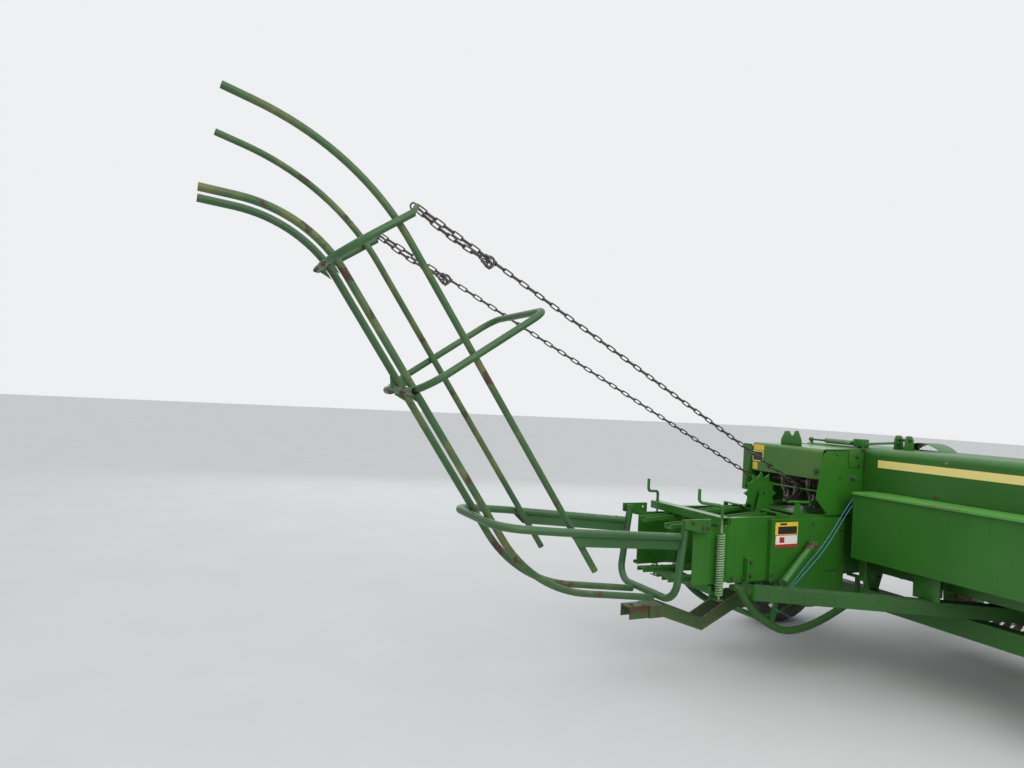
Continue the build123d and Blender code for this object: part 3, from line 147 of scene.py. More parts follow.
def new_group(name, **numbers):
    """Opens a node group that takes a Vector and the named numbers, and puts out one Mask."""
    tree = bpy.data.node_groups.new(name, "ShaderNodeTree")
    tree.interface.new_socket(name="Vector", in_out="INPUT", socket_type="NodeSocketVector")
    for number, value in numbers.items():
        socket = tree.interface.new_socket(name=number, in_out="INPUT", socket_type="NodeSocketFloat")
        socket.default_value = value
    tree.interface.new_socket(name="Mask", in_out="OUTPUT", socket_type="NodeSocketFloat")
    return tree, tree.nodes.new("NodeGroupInput").outputs, tree.nodes.new("NodeGroupOutput").inputs["Mask"]


def use_group(tree, group, **feeds):
    """Places a node group in a tree and returns its mask."""
    made = tree.nodes.new("ShaderNodeGroup")
    made.node_tree = group
    return feed(tree, made, feeds).outputs["Mask"]


def blend_colour(tree, mask, below, above):
    """Lays one colour over another by a mask."""
    return put(tree, "Mix", {0: mask, 6: below, 7: above}, data_type="RGBA").outputs[2]


def maths(tree, operation, *values, **settings):
    """Adds a Math node on one to three values."""
    return put(tree, "Math", dict(enumerate(values)), operation=operation, **settings)


def ranged(tree, value, old=(0, 1), new=(0, 1), **settings):
    """Maps a value from one range to another."""
    return put(tree, "MapRange", {"Value": value, "From Min": old[0], "From Max": old[1], "To Min": new[0],
                                  "To Max": new[1]}, **settings)


def noise(tree, where, scale, detail, roughness=0.5):
    """Adds a noise texture."""
    return put(tree, "TexNoise", {"Vector": where, "Scale": scale, "Detail": detail, "Roughness": roughness})


def dimmed(tree, colour, share):
    """Scales a colour."""
    return put(tree, "VectorMath", {0: colour, "Scale": share}, operation="SCALE")


def rgb(red, green, blue):
    """An opaque colour."""
    return (red, green, blue, 1)


# %% [markdown]
# ## Shared effects
# Weather leaves the same marks on every part of an old machine: broad patches where the paint has faded or
# rust has broken through, paint rubbed off along edges, pale dust and lichen on what looks up, and streaks
# where rain runs down. They could be painted as images, but noise and geometry need no UV map and fit every
# piece. Each effect is a node group that puts out one mask, and every finish mixes them by its own strength.

# %% Patches
patches, given, mask = new_group("patches", Scale=6, Share=0.3, Softness=0.08)
cloud = noise(patches, given["Vector"], given["Scale"], 8, 0.62)
limit = maths(patches, "SUBTRACT", 1, given["Share"])
upper = maths(patches, "ADD", limit, given["Softness"])
spread = ranged(patches, cloud, (limit, upper), interpolation_type="SMOOTHSTEP")
patches.links.new(spread.outputs[0], mask)
print("effect", patches.name, len(patches.nodes), "nodes")

# %% Edge wear
edge_wear, given, mask = new_group("edge_wear", Width=0.004, Amount=0.6)
rounded = put(edge_wear, "Bevel", {"Radius": given["Width"]}, samples=4)
facing_way = put(edge_wear, "NewGeometry")
agreement = put(edge_wear, "VectorMath", {0: rounded, 1: facing_way.outputs["Normal"]},
                operation="DOT_PRODUCT")
edge = ranged(edge_wear, agreement.outputs["Value"], (0.97, 0.78))
broken = use_group(edge_wear, patches, Vector=given["Vector"], Scale=34, Share=given["Amount"], Softness=0.12)
worn = maths(edge_wear, "MULTIPLY", edge, broken)
edge_wear.links.new(worn.outputs[0], mask)
print("effect", edge_wear.name, len(edge_wear.nodes), "nodes")

# %% Settled dust
settled, given, mask = new_group("settled_dust", Amount=0.5, Splash=0.5)
facing_way = put(settled, "NewGeometry")
faces = put(settled, "SeparateXYZ", {0: facing_way.outputs["Normal"]})
skyward = ranged(settled, faces.outputs["Z"], (0.35, 0.95))
place = put(settled, "SeparateXYZ", {0: given["Vector"]})
low_down = ranged(settled, place.outputs["Z"], (0.75, 0.1))
splashes = maths(settled, "MULTIPLY", low_down, given["Splash"])
both = maths(settled, "MAXIMUM", skyward, splashes)
speckle = noise(settled, given["Vector"], 38, 7, 0.7)
grains = ranged(settled, speckle, (0.42, 0.68))
spread = maths(settled, "MULTIPLY", both, grains)
scaled = maths(settled, "MULTIPLY", spread, given["Amount"])
settled.links.new(scaled.outputs[0], mask)
print("effect", settled.name, len(settled.nodes), "nodes")

# %% Rain streaks
streaks, given, mask = new_group("rain_streaks", Share=0.45)
drawn = put(streaks, "Mapping", {"Vector": given["Vector"], "Scale": (26, 26, 1.3)})
runs = use_group(streaks, patches, Vector=drawn, Scale=1.0, Share=given["Share"], Softness=0.2)
facing_way = put(streaks, "NewGeometry")
faces = put(streaks, "SeparateXYZ", {0: facing_way.outputs["Normal"]})
flat = maths(streaks, "ABSOLUTE", faces.outputs["Z"])
upright = ranged(streaks, flat, (0.6, 0.1))
kept = maths(streaks, "MULTIPLY", runs, upright)
streaks.links.new(kept.outputs[0], mask)
print("effects", [g.name for g in bpy.data.node_groups])

# %% [markdown]
# ## Finishes
# All painted parts share one recipe: a coat that varies a little, fades in patches, is rubbed to primer and
# rust along its edges, streaked by rain and dusted on top. What differs is the colour and how far each effect
# has gone, so one function takes those as values. Bare, rusty and rubber parts have recipes of their own.

# %% Paint
RUST_DARK, RUST_LIGHT = rgb(0.055, 0.022, 0.012), rgb(0.21, 0.085, 0.035)
DUST = rgb(0.30, 0.30, 0.22)


def new_material(name):
    """An empty material, with its tree, its shader and the Object coordinates."""
    material = bpy.data.materials.new(name)
    material.use_nodes = True
    tree = material.node_tree
    shader = tree.nodes["Principled BSDF"]
    return material, tree, shader, put(tree, "TexCoord").outputs["Object"]


def painted(name, coat, faded, fade=0.4, bare=0.0, bare_colour=RUST_LIGHT, wear=0.5, edge_colour=RUST_DARK,
            dust=0.5, splash=0.5, streak=0.3, gloss=0.42, edge=0.003, blot=17):
    """Old paint on steel."""
    material, tree, shader, where = new_material(name)
    drift = noise(tree, where, 2.2, 4)
    tone = ranged(tree, drift, (0.3, 0.7), (0.84, 1.12))
    fading = use_group(tree, patches, Vector=where, Scale=3.4, Share=fade + 0.15, Softness=0.3)
    toned = dimmed(tree, blend_colour(tree, fading, coat, faded), tone)
    runs = use_group(tree, streaks, Vector=where, Share=0.45)
    run_share = maths(tree, "MULTIPLY", runs, streak)
    dark = dimmed(tree, toned, 0.62)
    colour = blend_colour(tree, run_share, toned, dark)
    edges = use_group(tree, edge_wear, Vector=where, Width=edge, Amount=wear)
    colour = blend_colour(tree, edges, colour, edge_colour)
    broken = use_group(tree, patches, Vector=where, Scale=blot, Share=0.24 + bare, Softness=0.05)
    rust_noise = noise(tree, where, 90, 5)
    rust = blend_colour(tree, rust_noise, bare_colour, RUST_DARK)
    colour = blend_colour(tree, broken, colour, rust)
    settled_here = use_group(tree, settled, Vector=where, Amount=dust, Splash=splash)
    marks = maths(tree, "MAXIMUM", broken, settled_here)
    rough = ranged(tree, marks, new=(gloss, 0.85))
    peel = noise(tree, where, 130, 2)
    lifted = maths(tree, "MULTIPLY", broken, rust_noise)
    raised = maths(tree, "MULTIPLY_ADD", peel, 0.12, lifted)
    soft_edges = put(tree, "Bevel", {"Radius": edge}, samples=4)
    bump = put(tree, "Bump", {"Strength": 0.25, "Distance": 0.002, "Height": raised, "Normal": soft_edges})
    feed(tree, shader, {"Base Color": blend_colour(tree, settled_here, colour, DUST), "Roughness": rough,
                        "Normal": bump})
    return material


# %% Paint colours
green = painted("green_paint", rgb(0.024, 0.135, 0.011), rgb(0.046, 0.155, 0.02), fade=0.28, wear=0.42,
                dust=0.24, splash=0.12, streak=0.4, gloss=0.34)
green_top = painted("green_paint_weathered_top", rgb(0.026, 0.128, 0.011), rgb(0.042, 0.148, 0.02), fade=0.3,
                    edge_colour=rgb(0.22, 0.27, 0.13), dust=0.22, splash=0.2, gloss=0.36)
# The lid's brighter green is partly its own paint and partly painted light: the stronger light that falls on
# its top.
lid_paint_and_top_light = painted("green_paint_lid_and_painted_top_light", rgb(0.074, 0.305, 0.036), rgb(0.13, 0.35, 0.065), fade=0.35, wear=0.6,
                    edge_colour=rgb(0.34, 0.38, 0.22), dust=0.3, streak=0.1, gloss=0.3, edge=0.004)
hood_green = painted("green_paint_faded", rgb(0.042, 0.152, 0.014), rgb(0.064, 0.165, 0.024), fade=0.5,
                     edge_colour=rgb(0.25, 0.30, 0.16), dust=0.2, streak=0.35, gloss=0.36)
# Painted shade: the beam and the guards get a darker copy of the green, standing in for less light thrown up
# from the ground than the pale floor gives.
shaded_low_green = painted("green_paint_low_painted_shade", rgb(0.016, 0.088, 0.008), rgb(0.034, 0.105, 0.014), fade=0.3,
                    wear=0.45, dust=0.24, splash=0.08, streak=0.4, gloss=0.6)
chute_green = painted("chute_green_worn", rgb(0.028, 0.10, 0.026), rgb(0.062, 0.13, 0.038), bare=0.04,
                      bare_colour=rgb(0.10, 0.075, 0.045), dust=0.3, splash=0.2)
rubbed_green = painted("chute_green_rubbed", rgb(0.03, 0.10, 0.03), rgb(0.19, 0.17, 0.045), bare=0.17,
                       bare_colour=rgb(0.10, 0.06, 0.035), wear=0.6, dust=0.2, splash=0.1, gloss=0.45, blot=7)
hitch_green = painted("hitch_paint_worn", rgb(0.024, 0.085, 0.014), rgb(0.06, 0.085, 0.022), fade=0.5,
                      bare=0.2, bare_colour=rgb(0.10, 0.055, 0.03), wear=0.7, dust=0.4, splash=0.3,
                      gloss=0.55, blot=9)
wheel_yellow = painted("wheel_paint", rgb(0.62, 0.42, 0.04), rgb(0.66, 0.52, 0.14), fade=0.35, bare=0.06,
                       dust=0.6, splash=0.9)
print("paints", green.name, chute_green.name, rubbed_green.name)

# %% [markdown]
# ## Bare metal, rubber, plates and twine
# What moves or rubs has lost its paint: pins, gears, springs and chains are grey steel with rust where it
# rests. Two greys mixed by fine noise give the steel, and a mask takes the metal out of it where it has
# rusted, because rust doesn't shine. Rubber is dull and dusty in its pores. Plates are even colour with a
# little soil, and twine shows its turns along the strand.

# %% Bare metal
def bare_metal(name, dark, light, rust=0.3, metal=0.75, rough=0.42, scale=30):
    """Steel that work keeps bare, with rust where it rests."""
    material, tree, shader, where = new_material(name)
    grain = noise(tree, where, scale, 8, 0.65)
    colour = blend_colour(tree, grain, dark, light)
    rusted = use_group(tree, patches, Vector=where, Scale=9, Share=0.3 + rust, Softness=0.16)
    rust_noise = noise(tree, where, 120, 4)
    rust_colour = blend_colour(tree, rust_noise, RUST_LIGHT, RUST_DARK)
    clean = ranged(tree, rusted, new=(metal, 0.05))
    roughness = ranged(tree, rusted, new=(rough, 0.9))
    bump = put(tree, "Bump", {"Strength": 0.35, "Distance": 0.001, "Height": rust_noise})
    feed(tree, shader, {"Base Color": blend_colour(tree, rusted, colour, rust_colour), "Metallic": clean,
                        "Roughness": roughness, "Normal": bump})
    return material


# %% Rubber, plates and twine
def rubber(name, dark, dusty, splash=0.8):
    """Aged rubber with dust in its pores."""
    material, tree, shader, where = new_material(name)
    pores = noise(tree, where, 55, 8, 0.7)
    dust_here = use_group(tree, settled, Vector=where, Amount=0.7, Splash=splash)
    veil = maths(tree, "MULTIPLY_ADD", pores, 0.55, dust_here, use_clamp=True)
    roughness = ranged(tree, pores, new=(0.62, 0.92))
    bump = put(tree, "Bump", {"Strength": 0.2, "Distance": 0.001, "Height": pores})
    feed(tree, shader, {"Base Color": blend_colour(tree, veil, dark, dusty), "Roughness": roughness,
                        "Normal": bump})
    return material


SOIL = rgb(0.20, 0.19, 0.12)


def plain_film(name, colour, soil=SOIL):
    """A printed plate or stripe with nothing on it: even colour, a little soiled and scratched."""
    material, tree, shader, where = new_material(name)
    soiled = use_group(tree, patches, Vector=where, Scale=24, Share=0.42, Softness=0.3)
    share = maths(tree, "MULTIPLY", soiled, 0.3)
    runs = use_group(tree, streaks, Vector=where, Share=0.4)
    both_marks = maths(tree, "MULTIPLY_ADD", runs, 0.18, share)
    roughness = ranged(tree, soiled, new=(0.35, 0.7))
    feed(tree, shader, {"Base Color": blend_colour(tree, both_marks, colour, soil), "Roughness": roughness})
    return material


def twisted(name, colour, pale):
    """Plastic twine: fine turns along the strand, read from its own UV map."""
    material, tree, shader, _ = new_material(name)
    along = put(tree, "TexCoord").outputs["UV"]
    turns = put(tree, "Mapping", {"Vector": along, "Scale": (260, 3, 1), "Rotation": (0, 0, 0.5)})
    strands = put(tree, "TexWave", {"Vector": turns, "Scale": 1.0, "Distortion": 1.2})
    soft = ranged(tree, strands, new=(0.55, 0.8))
    feed(tree, shader, {"Base Color": blend_colour(tree, strands, colour, pale), "Roughness": soft})
    return material


# %% The other finishes
worked_steel = bare_metal("worn_steel", rgb(0.14, 0.12, 0.10), rgb(0.36, 0.33, 0.29), rust=0.18)
old_steel = bare_metal("rusty_steel", rgb(0.06, 0.04, 0.03), rgb(0.16, 0.10, 0.07), metal=0.35, rough=0.6)
bolt_steel = bare_metal("bolt_steel", rgb(0.03, 0.045, 0.018), rgb(0.09, 0.10, 0.05), rust=0.04, metal=0.3,
                        rough=0.55, scale=60)
chain_steel = bare_metal("chain_steel", rgb(0.04, 0.036, 0.032), rgb(0.15, 0.14, 0.13), rust=0.02, metal=0.6,
                         rough=0.4, scale=70)
spring_coat = painted("pale_spring_paint", rgb(0.17, 0.30, 0.14), rgb(0.30, 0.42, 0.24), fade=0.45, bare=0.03,
                      dust=0.3, gloss=0.55, edge=0.001)
tyre_rubber = rubber("tyre_rubber", rgb(0.022, 0.022, 0.021), rgb(0.12, 0.11, 0.085))
dark_rubber = rubber("dark_rubber", rgb(0.03, 0.03, 0.028), rgb(0.10, 0.095, 0.075))
dark_plastic = rubber("dark_cover", rgb(0.025, 0.025, 0.024), rgb(0.09, 0.085, 0.07), splash=0.3)
yellow_film = plain_film("yellow_plate", rgb(0.72, 0.47, 0.035))
stripe_film = plain_film("pale_yellow_stripe", rgb(0.86, 0.69, 0.24))
# The same black also makes the dark discs of painted shade that stand for empty bolt holes.
black_print_and_shade_film = plain_film("black_plate_and_painted_shade", rgb(0.022, 0.02, 0.018), soil=rgb(0.08, 0.07, 0.05))
white_film = plain_film("white_plate", rgb(0.70, 0.69, 0.66))
red_film = plain_film("red_plate", rgb(0.42, 0.022, 0.03))
blue_twine = twisted("blue_twine", rgb(0.05, 0.17, 0.38), rgb(0.20, 0.38, 0.60))
print("materials", len(bpy.data.materials))

# %% [markdown]
# ## Finishes on the CAD pieces
# Every CAD node gets its finish by what it is: pressed sheet and frame parts are green, what crop and bales
# rub is worn or bare, and faces that lie open to the sky have weathered most. The same table, read backwards,
# lists the slot of each finish.

# %% Dress the CAD pieces
by_slot = {"green_paint": green, "worn_green": chute_green, "wheel_paint": wheel_yellow,
           "worn_steel": worked_steel, "pale_steel": spring_coat, "rusty_steel": old_steel,
           "dark_cover": dark_plastic, "tyre": tyre_rubber, "dark_rubber": dark_rubber}
slot_of = {finish.name: slot for slot, finish in by_slot.items()}
slot_of.update({bolt_steel.name: "rusty_steel", chain_steel.name: "rusty_steel"})
# The beam's darker green is painted shade.
by_node = {"feed_housing": green_top, "tension_rails": green_top, "twine_box_lid": lid_paint_and_top_light,
           "hood": hood_green, "chute_lower_rails": rubbed_green, "chute_side_rails": rubbed_green,
           "wagon_hitch": hitch_green, "knotter_frame": green, "star_wheel": green, "needles": green,
           "tension_cranks": green, "beam": shaded_low_green}
for part in frame["record"]["subparts"]:
    finish = by_node.get(part["node"], by_slot[part["material_slot"]])
    for material_slot in nodes[part["node"]].material_slots:
        material_slot.material = finish

# %% [markdown]
# ## Modelling tools
# A piece is started from a primitive or a curve, shaped in edit mode and finished with modifiers. These
# helpers do the steps that every piece repeats: select one piece only, apply a modifier, put the place into
# the mesh, copy a pattern to many places and join the copies.

# %% Selecting, adding and applying
def only(piece):
    """Selects one piece and nothing else."""
    bpy.ops.object.select_all(action="DESELECT")
    piece.select_set(True)
    bpy.context.view_layer.objects.active = piece
    return piece


def added(name):
    """Names the object that an add operator has just made."""
    piece = bpy.context.active_object
    piece.name = piece.data.name = name
    return only(piece)


def primitive(name, kind, **settings):
    """Adds a primitive mesh by the name of its operator."""
    bpy.ops.object.select_all(action="DESELECT")
    getattr(bpy.ops.mesh, "primitive_" + kind + "_add")(**settings)
    return added(name)


def settle(piece):
    """Puts a piece's place, turn and size into its mesh."""
    only(piece)
    bpy.ops.object.transform_apply(location=True, rotation=True, scale=True)
    return piece


def modify(piece, kind, **settings):
    """Adds a modifier and applies it."""
    only(piece)
    modifier = piece.modifiers.new(kind.lower(), kind)
    for setting, value in settings.items():
        setattr(modifier, setting, value)
    bpy.ops.object.modifier_apply(modifier=modifier.name)
    return piece


# %% Shaping
def edit_where(piece, chosen, edit):
    """Does one edit-mode step on the points that a test chooses."""
    bpy.ops.object.mode_set(mode="EDIT")
    bpy.ops.mesh.select_all(action="DESELECT")
    bpy.ops.object.mode_set(mode="OBJECT")
    for vertex in piece.data.vertices:
        vertex.select = chosen(vertex.co)
    bpy.ops.object.mode_set(mode="EDIT")
    edit()
    bpy.ops.object.mode_set(mode="OBJECT")


def face_outward(piece, merge=None):
    """Makes all faces look outward, after points closer than the merge distance became one."""
    bpy.ops.object.mode_set(mode="EDIT")
    bpy.ops.mesh.select_all(action="SELECT")
    if merge:
        bpy.ops.mesh.remove_doubles(threshold=merge)
    bpy.ops.mesh.normals_make_consistent(inside=False)
    bpy.ops.object.mode_set(mode="OBJECT")
    return piece


def soften(piece, width=0.001, angle=40):
    """Rounds a piece's edges a little and shades it smooth between them."""
    modify(piece, "BEVEL", width=width, segments=2, limit_method="ANGLE", angle_limit=radians(35))
    only(piece)
    bpy.ops.object.shade_smooth_by_angle(angle=radians(angle))
    return piece


# %% Copying and finishing
def joined(pieces, name):
    """Joins pieces to one mesh."""
    bpy.ops.object.select_all(action="DESELECT")
    for piece in pieces:
        piece.select_set(True)
    bpy.context.view_layer.objects.active = pieces[0]
    if len(pieces) > 1:
        bpy.ops.object.join()
    return added(name)


def stamped(pattern, places, name):
    """Copies a pattern to each place, every copy with its own mesh, and joins the copies."""
    made = []
    for place in places:
        twin = pattern.copy()
        twin.data = pattern.data.copy()
        bpy.context.scene.collection.objects.link(twin)
        twin.data.transform(place)
        made.append(twin)
    bpy.data.objects.remove(pattern)
    return joined(made, name)


def looking(point, direction, turn=0.0):
    """A place whose +Z looks along a direction."""
    aim = Vector(direction).to_track_quat("Z", "Y").to_matrix().to_4x4()
    return Matrix.Translation(point) @ aim @ Matrix.Rotation(turn, 4, "Z")


def finish_piece(piece, material, body):
    """Gives a piece its finish and the body it rides on."""
    piece.data.materials.clear()
    piece.data.materials.append(material)
    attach(piece, body)
    print(piece.name, len(piece.data.polygons), "faces")
    return piece


# %% [markdown]
# ## Bars, blocks, wires and plates
# Most small fittings are one of four shapes. A bar and a block start as primitives. A wire is a curve with a
# round bevel and a plate is a filled flat curve, both made a mesh, because a bend or an outline takes a few
# points there and many extrusions in a mesh.

# %% Bars, blocks, wires and plates
def round_bar(name, start, end, radius, sides=20, edge=0.0008):
    """A round bar between two points with softened ends."""
    start, end = Vector(start), Vector(end)
    piece = primitive(name, "cylinder", vertices=sides, radius=radius, depth=(end - start).length)
    piece.data.transform(looking((start + end) / 2, end - start))
    return soften(piece, edge)


def box_piece(name, low, high, edge=0.001):
    """A block between two corners with softened edges."""
    low, high = Vector(low), Vector(high)
    piece = primitive(name, "cube", size=1, location=(low + high) / 2)
    piece.scale = [abs(size) for size in high - low]
    return soften(settle(piece), edge)


def drawn_curve(name, kind, points, closed=False, **settings):
    """A curve with one spline through a few points. Settings go to the curve."""
    curve = bpy.data.curves.new(name, "CURVE")
    curve.dimensions = "3D"
    for setting, value in settings.items():
        setattr(curve, setting, value)
    spline = curve.splines.new(kind)
    spline.points.add(len(points) - 1)
    for control, point in zip(spline.points, points):
        control.co = (*point, 1)
    spline.use_cyclic_u = closed
    if kind == "NURBS":
        spline.order_u, spline.use_endpoint_u = 3, True
    return into_scene(name, curve)


def as_mesh(curve, name):
    """Turns a curve into a mesh."""
    only(curve)
    bpy.ops.object.convert(target="MESH")
    return added(name)


def bent_wire(name, points, radius, sides=3):
    """A smooth wire through a few control points, as a mesh."""
    piece = as_mesh(drawn_curve(name, "NURBS", points, bevel_depth=radius, bevel_resolution=sides,
                                use_fill_caps=True), name)
    bpy.ops.object.shade_smooth()
    return piece


def cut_plate(name, outline, thick, right_way, up_way, origin):
    """A flat plate cut to an outline of (right, up) points in mm, centred on a plane through the origin."""
    piece = as_mesh(drawn_curve(name, "POLY", [(across * MM, high * MM, 0) for across, high in outline], True,
                                dimensions="2D", fill_mode="BOTH", extrude=thick / 2 * MM), name)
    face_outward(piece, 0.00001)
    right_way, up_way = Vector(right_way), Vector(up_way)
    turn = Matrix((right_way, up_way, right_way.cross(up_way))).transposed().to_4x4()
    piece.data.transform(Matrix.Translation(origin) @ turn)
    return soften(piece, 0.0008)


print("tools ready")

# %% [markdown]
# ## Support chains
# Two welded chains hold the chute up, from the hooks on its upper hoop to a bar under the hood. Near the
# hook each chain is doubled back and caught by its end hook. One link is a torus pulled apart to an oval. An
# Array modifier could repeat it, but every other link turns a quarter, so each link's place is worked out.

# %% Measures of the chains
LINK_PITCH, LINK_WIDE, LINK_WIRE = 52, 28, 8
CHAIN_HOOK = (-1674, 334.3, 2423.2)         # X, half spread and Z of the hooks' pins
CHAIN_BAR = (1100, 1088)                    # X and Z of the bar under the hood
CHAIN_END_Y = {-1: -70, 1: 290}
DOUBLED, STACKED = 430, 0.012               # length of the doubled stretch, and how far it lies above
print("chain links", LINK_PITCH, "mm apart")


# %% One link
def chain_link(name, pitch=LINK_PITCH, wide=LINK_WIDE, wire=LINK_WIRE):
    """One oval link along X, its flat side facing Z."""
    piece = primitive(name, "torus", major_segments=16, minor_segments=8, minor_radius=wire / 2 * MM,
                      major_radius=(wide - wire) / 2 * MM)
    for side in SIDES:
        pull = side * (pitch - wide + 2 * wire) / 2 * MM
        edit_where(piece, lambda co: co.x * side > 0.0005,
                   lambda: bpy.ops.transform.translate(value=(pull, 0, 0)))
    bpy.ops.object.shade_smooth()
    return piece


# %% A run of links
def run_of_links(start, end, bulge=0.0, lean=Vector(UP)):
    """Places for links from start to end; bulge lifts the middle of the run."""
    length = (end - start).length
    count = 2 * int(length / (LINK_PITCH * MM) / 2) + 1
    places = []
    for i in range(count):
        share = (i + 0.5) / count
        point = start.lerp(end, share) + lean * bulge * sin(pi * share)
        ahead = start.lerp(end, share + 0.5 / count) + lean * bulge * sin(pi * min(1, share + 0.5 / count))
        way = (ahead - point).normalized()
        across = Vector(LEFT) if i % 2 else way.cross(Vector(LEFT)).normalized()
        third = way.cross(across).normalized()
        places.append(Matrix.Translation(point) @ Matrix((way, across, third)).transposed().to_4x4())
    return places


# %% Both chains
for side, label in ((-1, "right"), (1, "left")):
    hook = spot(CHAIN_HOOK[0], side * CHAIN_HOOK[1], CHAIN_HOOK[2])
    anchor = spot(CHAIN_BAR[0], CHAIN_END_Y[side], CHAIN_BAR[1])
    way = (anchor - hook).normalized()
    caught = hook + way * DOUBLED * MM
    lift = way.cross(Vector(RIGHT)).normalized()
    places = run_of_links(hook, anchor)
    places += run_of_links(hook + lift * STACKED, caught + lift * STACKED, 0.014, lift)
    chain = stamped(chain_link("link"), places, "chain_run")
    ring = chain_link("ring", 20, 44, 9)
    ring.data.transform(looking(hook + lift * STACKED - way * 0.012, LEFT))
    grab = bent_wire("grab_hook", [caught + lift * 0.03 - way * 0.02, caught + lift * 0.045 + way * 0.01,
                                   caught + lift * 0.022 + way * 0.034, caught - lift * 0.012 + way * 0.028,
                                   caught - lift * 0.016 - way * 0.004, caught - lift * 0.002 - way * 0.02],
                     0.0065)
    knot = stamped(chain_link("turned_link"), [
        looking(caught + lift * 0.018 + Vector((0, 0.012, 0)), (0.3, 1, 0.4), 0.5),
        looking(caught + lift * 0.022 - Vector((0, 0.014, 0)), (1, 0.5, 0.2), 1.4),
        looking(caught + lift * 0.004, (0.6, -0.8, 0.4), 2.2)], "knot")
    chain = joined([chain, ring, grab, knot], "support_chain_" + label)
    chain.data.materials.clear()
    chain.data.materials.append(chain_steel)
    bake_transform(chain)
    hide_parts("support_chains")
    print(chain.name, len(chain.data.polygons), "faces")

# %% [markdown]
# ## Tension springs
# A close coil on each side pulls the rail yokes together, with a hook at each end for its rod. A bevelled
# curve could follow the spiral, but needs a point for every step. The Screw modifier needs only a small
# circle off the axis, which it turns round the axis and raises by one pitch a turn.

# %% A coil
SPRING_AT = (232, 300)                      # X and half spread
SPRING_LOW, SPRING_TOP, COILS = 512, 868, 25
SPRING_RADIUS, SPRING_WIRE = 18.5, 4.6


def coil(name, radius, wire, turns, pitch, steps=20, sides=8):
    """A coil spring along Z that starts at the origin; millimetres."""
    piece = settle(primitive(name, "circle", vertices=sides, radius=wire * MM, location=(radius * MM, 0, 0),
                             rotation=(pi / 2, 0, 0), fill_type="NGON"))
    modify(piece, "SCREW", angle=2 * pi, screw_offset=pitch * MM, iterations=turns, steps=steps,
           render_steps=steps, use_merge_vertices=True, merge_threshold=0.00001, use_normal_calculate=True)
    face_outward(piece)
    bpy.ops.object.shade_smooth()
    return piece


# %% Both springs
yoke_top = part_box("tension_yokes")[1].z
pitch = (SPRING_TOP - SPRING_LOW - 2 * SPRING_WIRE) / COILS
springs = []
for side in SIDES:
    low = spot(SPRING_AT[0], side * SPRING_AT[1], SPRING_LOW + SPRING_WIRE)
    top = spot(SPRING_AT[0], side * SPRING_AT[1], SPRING_TOP - SPRING_WIRE)
    body = coil("spring_coil", SPRING_RADIUS, SPRING_WIRE, COILS, pitch)
    body.data.transform(Matrix.Translation(low))
    reach = SPRING_RADIUS * MM
    for end, way in ((low, -1), (top, 1)):
        springs.append(bent_wire("spring_end", [
            end + Vector((reach, 0, 0)), end + Vector((reach * 0.6, reach * 0.9, way * 0.002)),
            end + Vector((0, reach * 0.4, way * 0.006)), end + Vector((0, 0, way * 0.016)),
            end + Vector((0, 0, way * 0.034))], SPRING_WIRE * MM))
    springs.append(body)
    springs.append(round_bar("eye_bolt", top + Vector((0, 0, 0.006)),
                             Vector((top.x, top.y, yoke_top - 0.004)), 0.006))
    springs.append(round_bar("draw_rod", Vector((low.x, low.y, 0.496)), low + Vector((0, 0, 0.004)), 0.006))
tension_coils = finish_piece(joined(springs, "tension_coils"), spring_coat, "frame")
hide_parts("tension_springs")

# %% [markdown]
# ## Bolts
# Hexagon bolts on washers hold the plates of the case. A plain cylinder could stand for each, but the six
# sides and bevelled edges catch the light even when they are small. Each is modelled at the origin, looking
# up, and then set on its face. The bolts of one row are joined to one piece.

# %% Bolts
def bolt(name, across=17, head=8, washer=2.2):
    """A hexagon head on its washer, looking along +Z; millimetres."""
    made = []
    for part, sides, radius, low, deep, edge in (
            ("washer", 20, across * 0.72, 0, washer, 0.0004),
            ("head", 6, across / sqrt(3), washer, head, 0.0012),
            ("thread_end", 12, across * 0.27, washer + head - 1, 4, 0.0006)):
        piece = primitive(part, "cylinder", vertices=sides, radius=radius * MM, depth=deep * MM,
                          location=(0, 0, (low + deep / 2) * MM))
        made.append(soften(settle(piece), edge))
    return joined(made, name)


def bolt_at(point, way, size, turn=0.0, head=8):
    """One bolt on a face that looks along a direction."""
    return stamped(bolt("bolt", size, head), [looking(point, way, turn)], "bolt")


COVER_FACE, PANEL_FACE, CASE_FACE = -260.5, -264, -234.5    # Y of right cover, rear panel and case
# Right side of the case, mirrored to the left: (x, y, z, size)
SIDE_BOLTS = [
    (672, COVER_FACE, 598, 13), (1245, COVER_FACE, 860, 13), (1000, COVER_FACE, 900, 13),
    (383, CASE_FACE, 590, 17), (465, CASE_FACE, 585, 17),
    (352, PANEL_FACE, 601, 15), (53, PANEL_FACE, 592, 17), (100, PANEL_FACE, 900, 13),
]
frame_bolts = [bolt_at(spot(x, -side * y, z), (0, side, 0), size, 0.4 * i)
               for side in SIDES for i, (x, y, z, size) in enumerate(SIDE_BOLTS)]
finish_piece(joined(frame_bolts, "frame_bolts"), bolt_steel, "frame")

# %% [markdown]
# ## Plates and the stripe
# The machine carries a few printed plates and one long pale stripe. They stay as plain coloured plates with
# nothing on them. A patch of colour in the paint could stand for them, but would have no edge. So each is a
# plane with its corners bevelled, extruded to the thickness of the film.

# %% Plates and the stripe
THIN, FILM = 0.3, 0.6           # thickness of a printed field and of the plate below it
HOOD_REAR, HOUSING_REAR = 1082, 1449.8      # X of the hood's rear panel and of the housing's rear wall


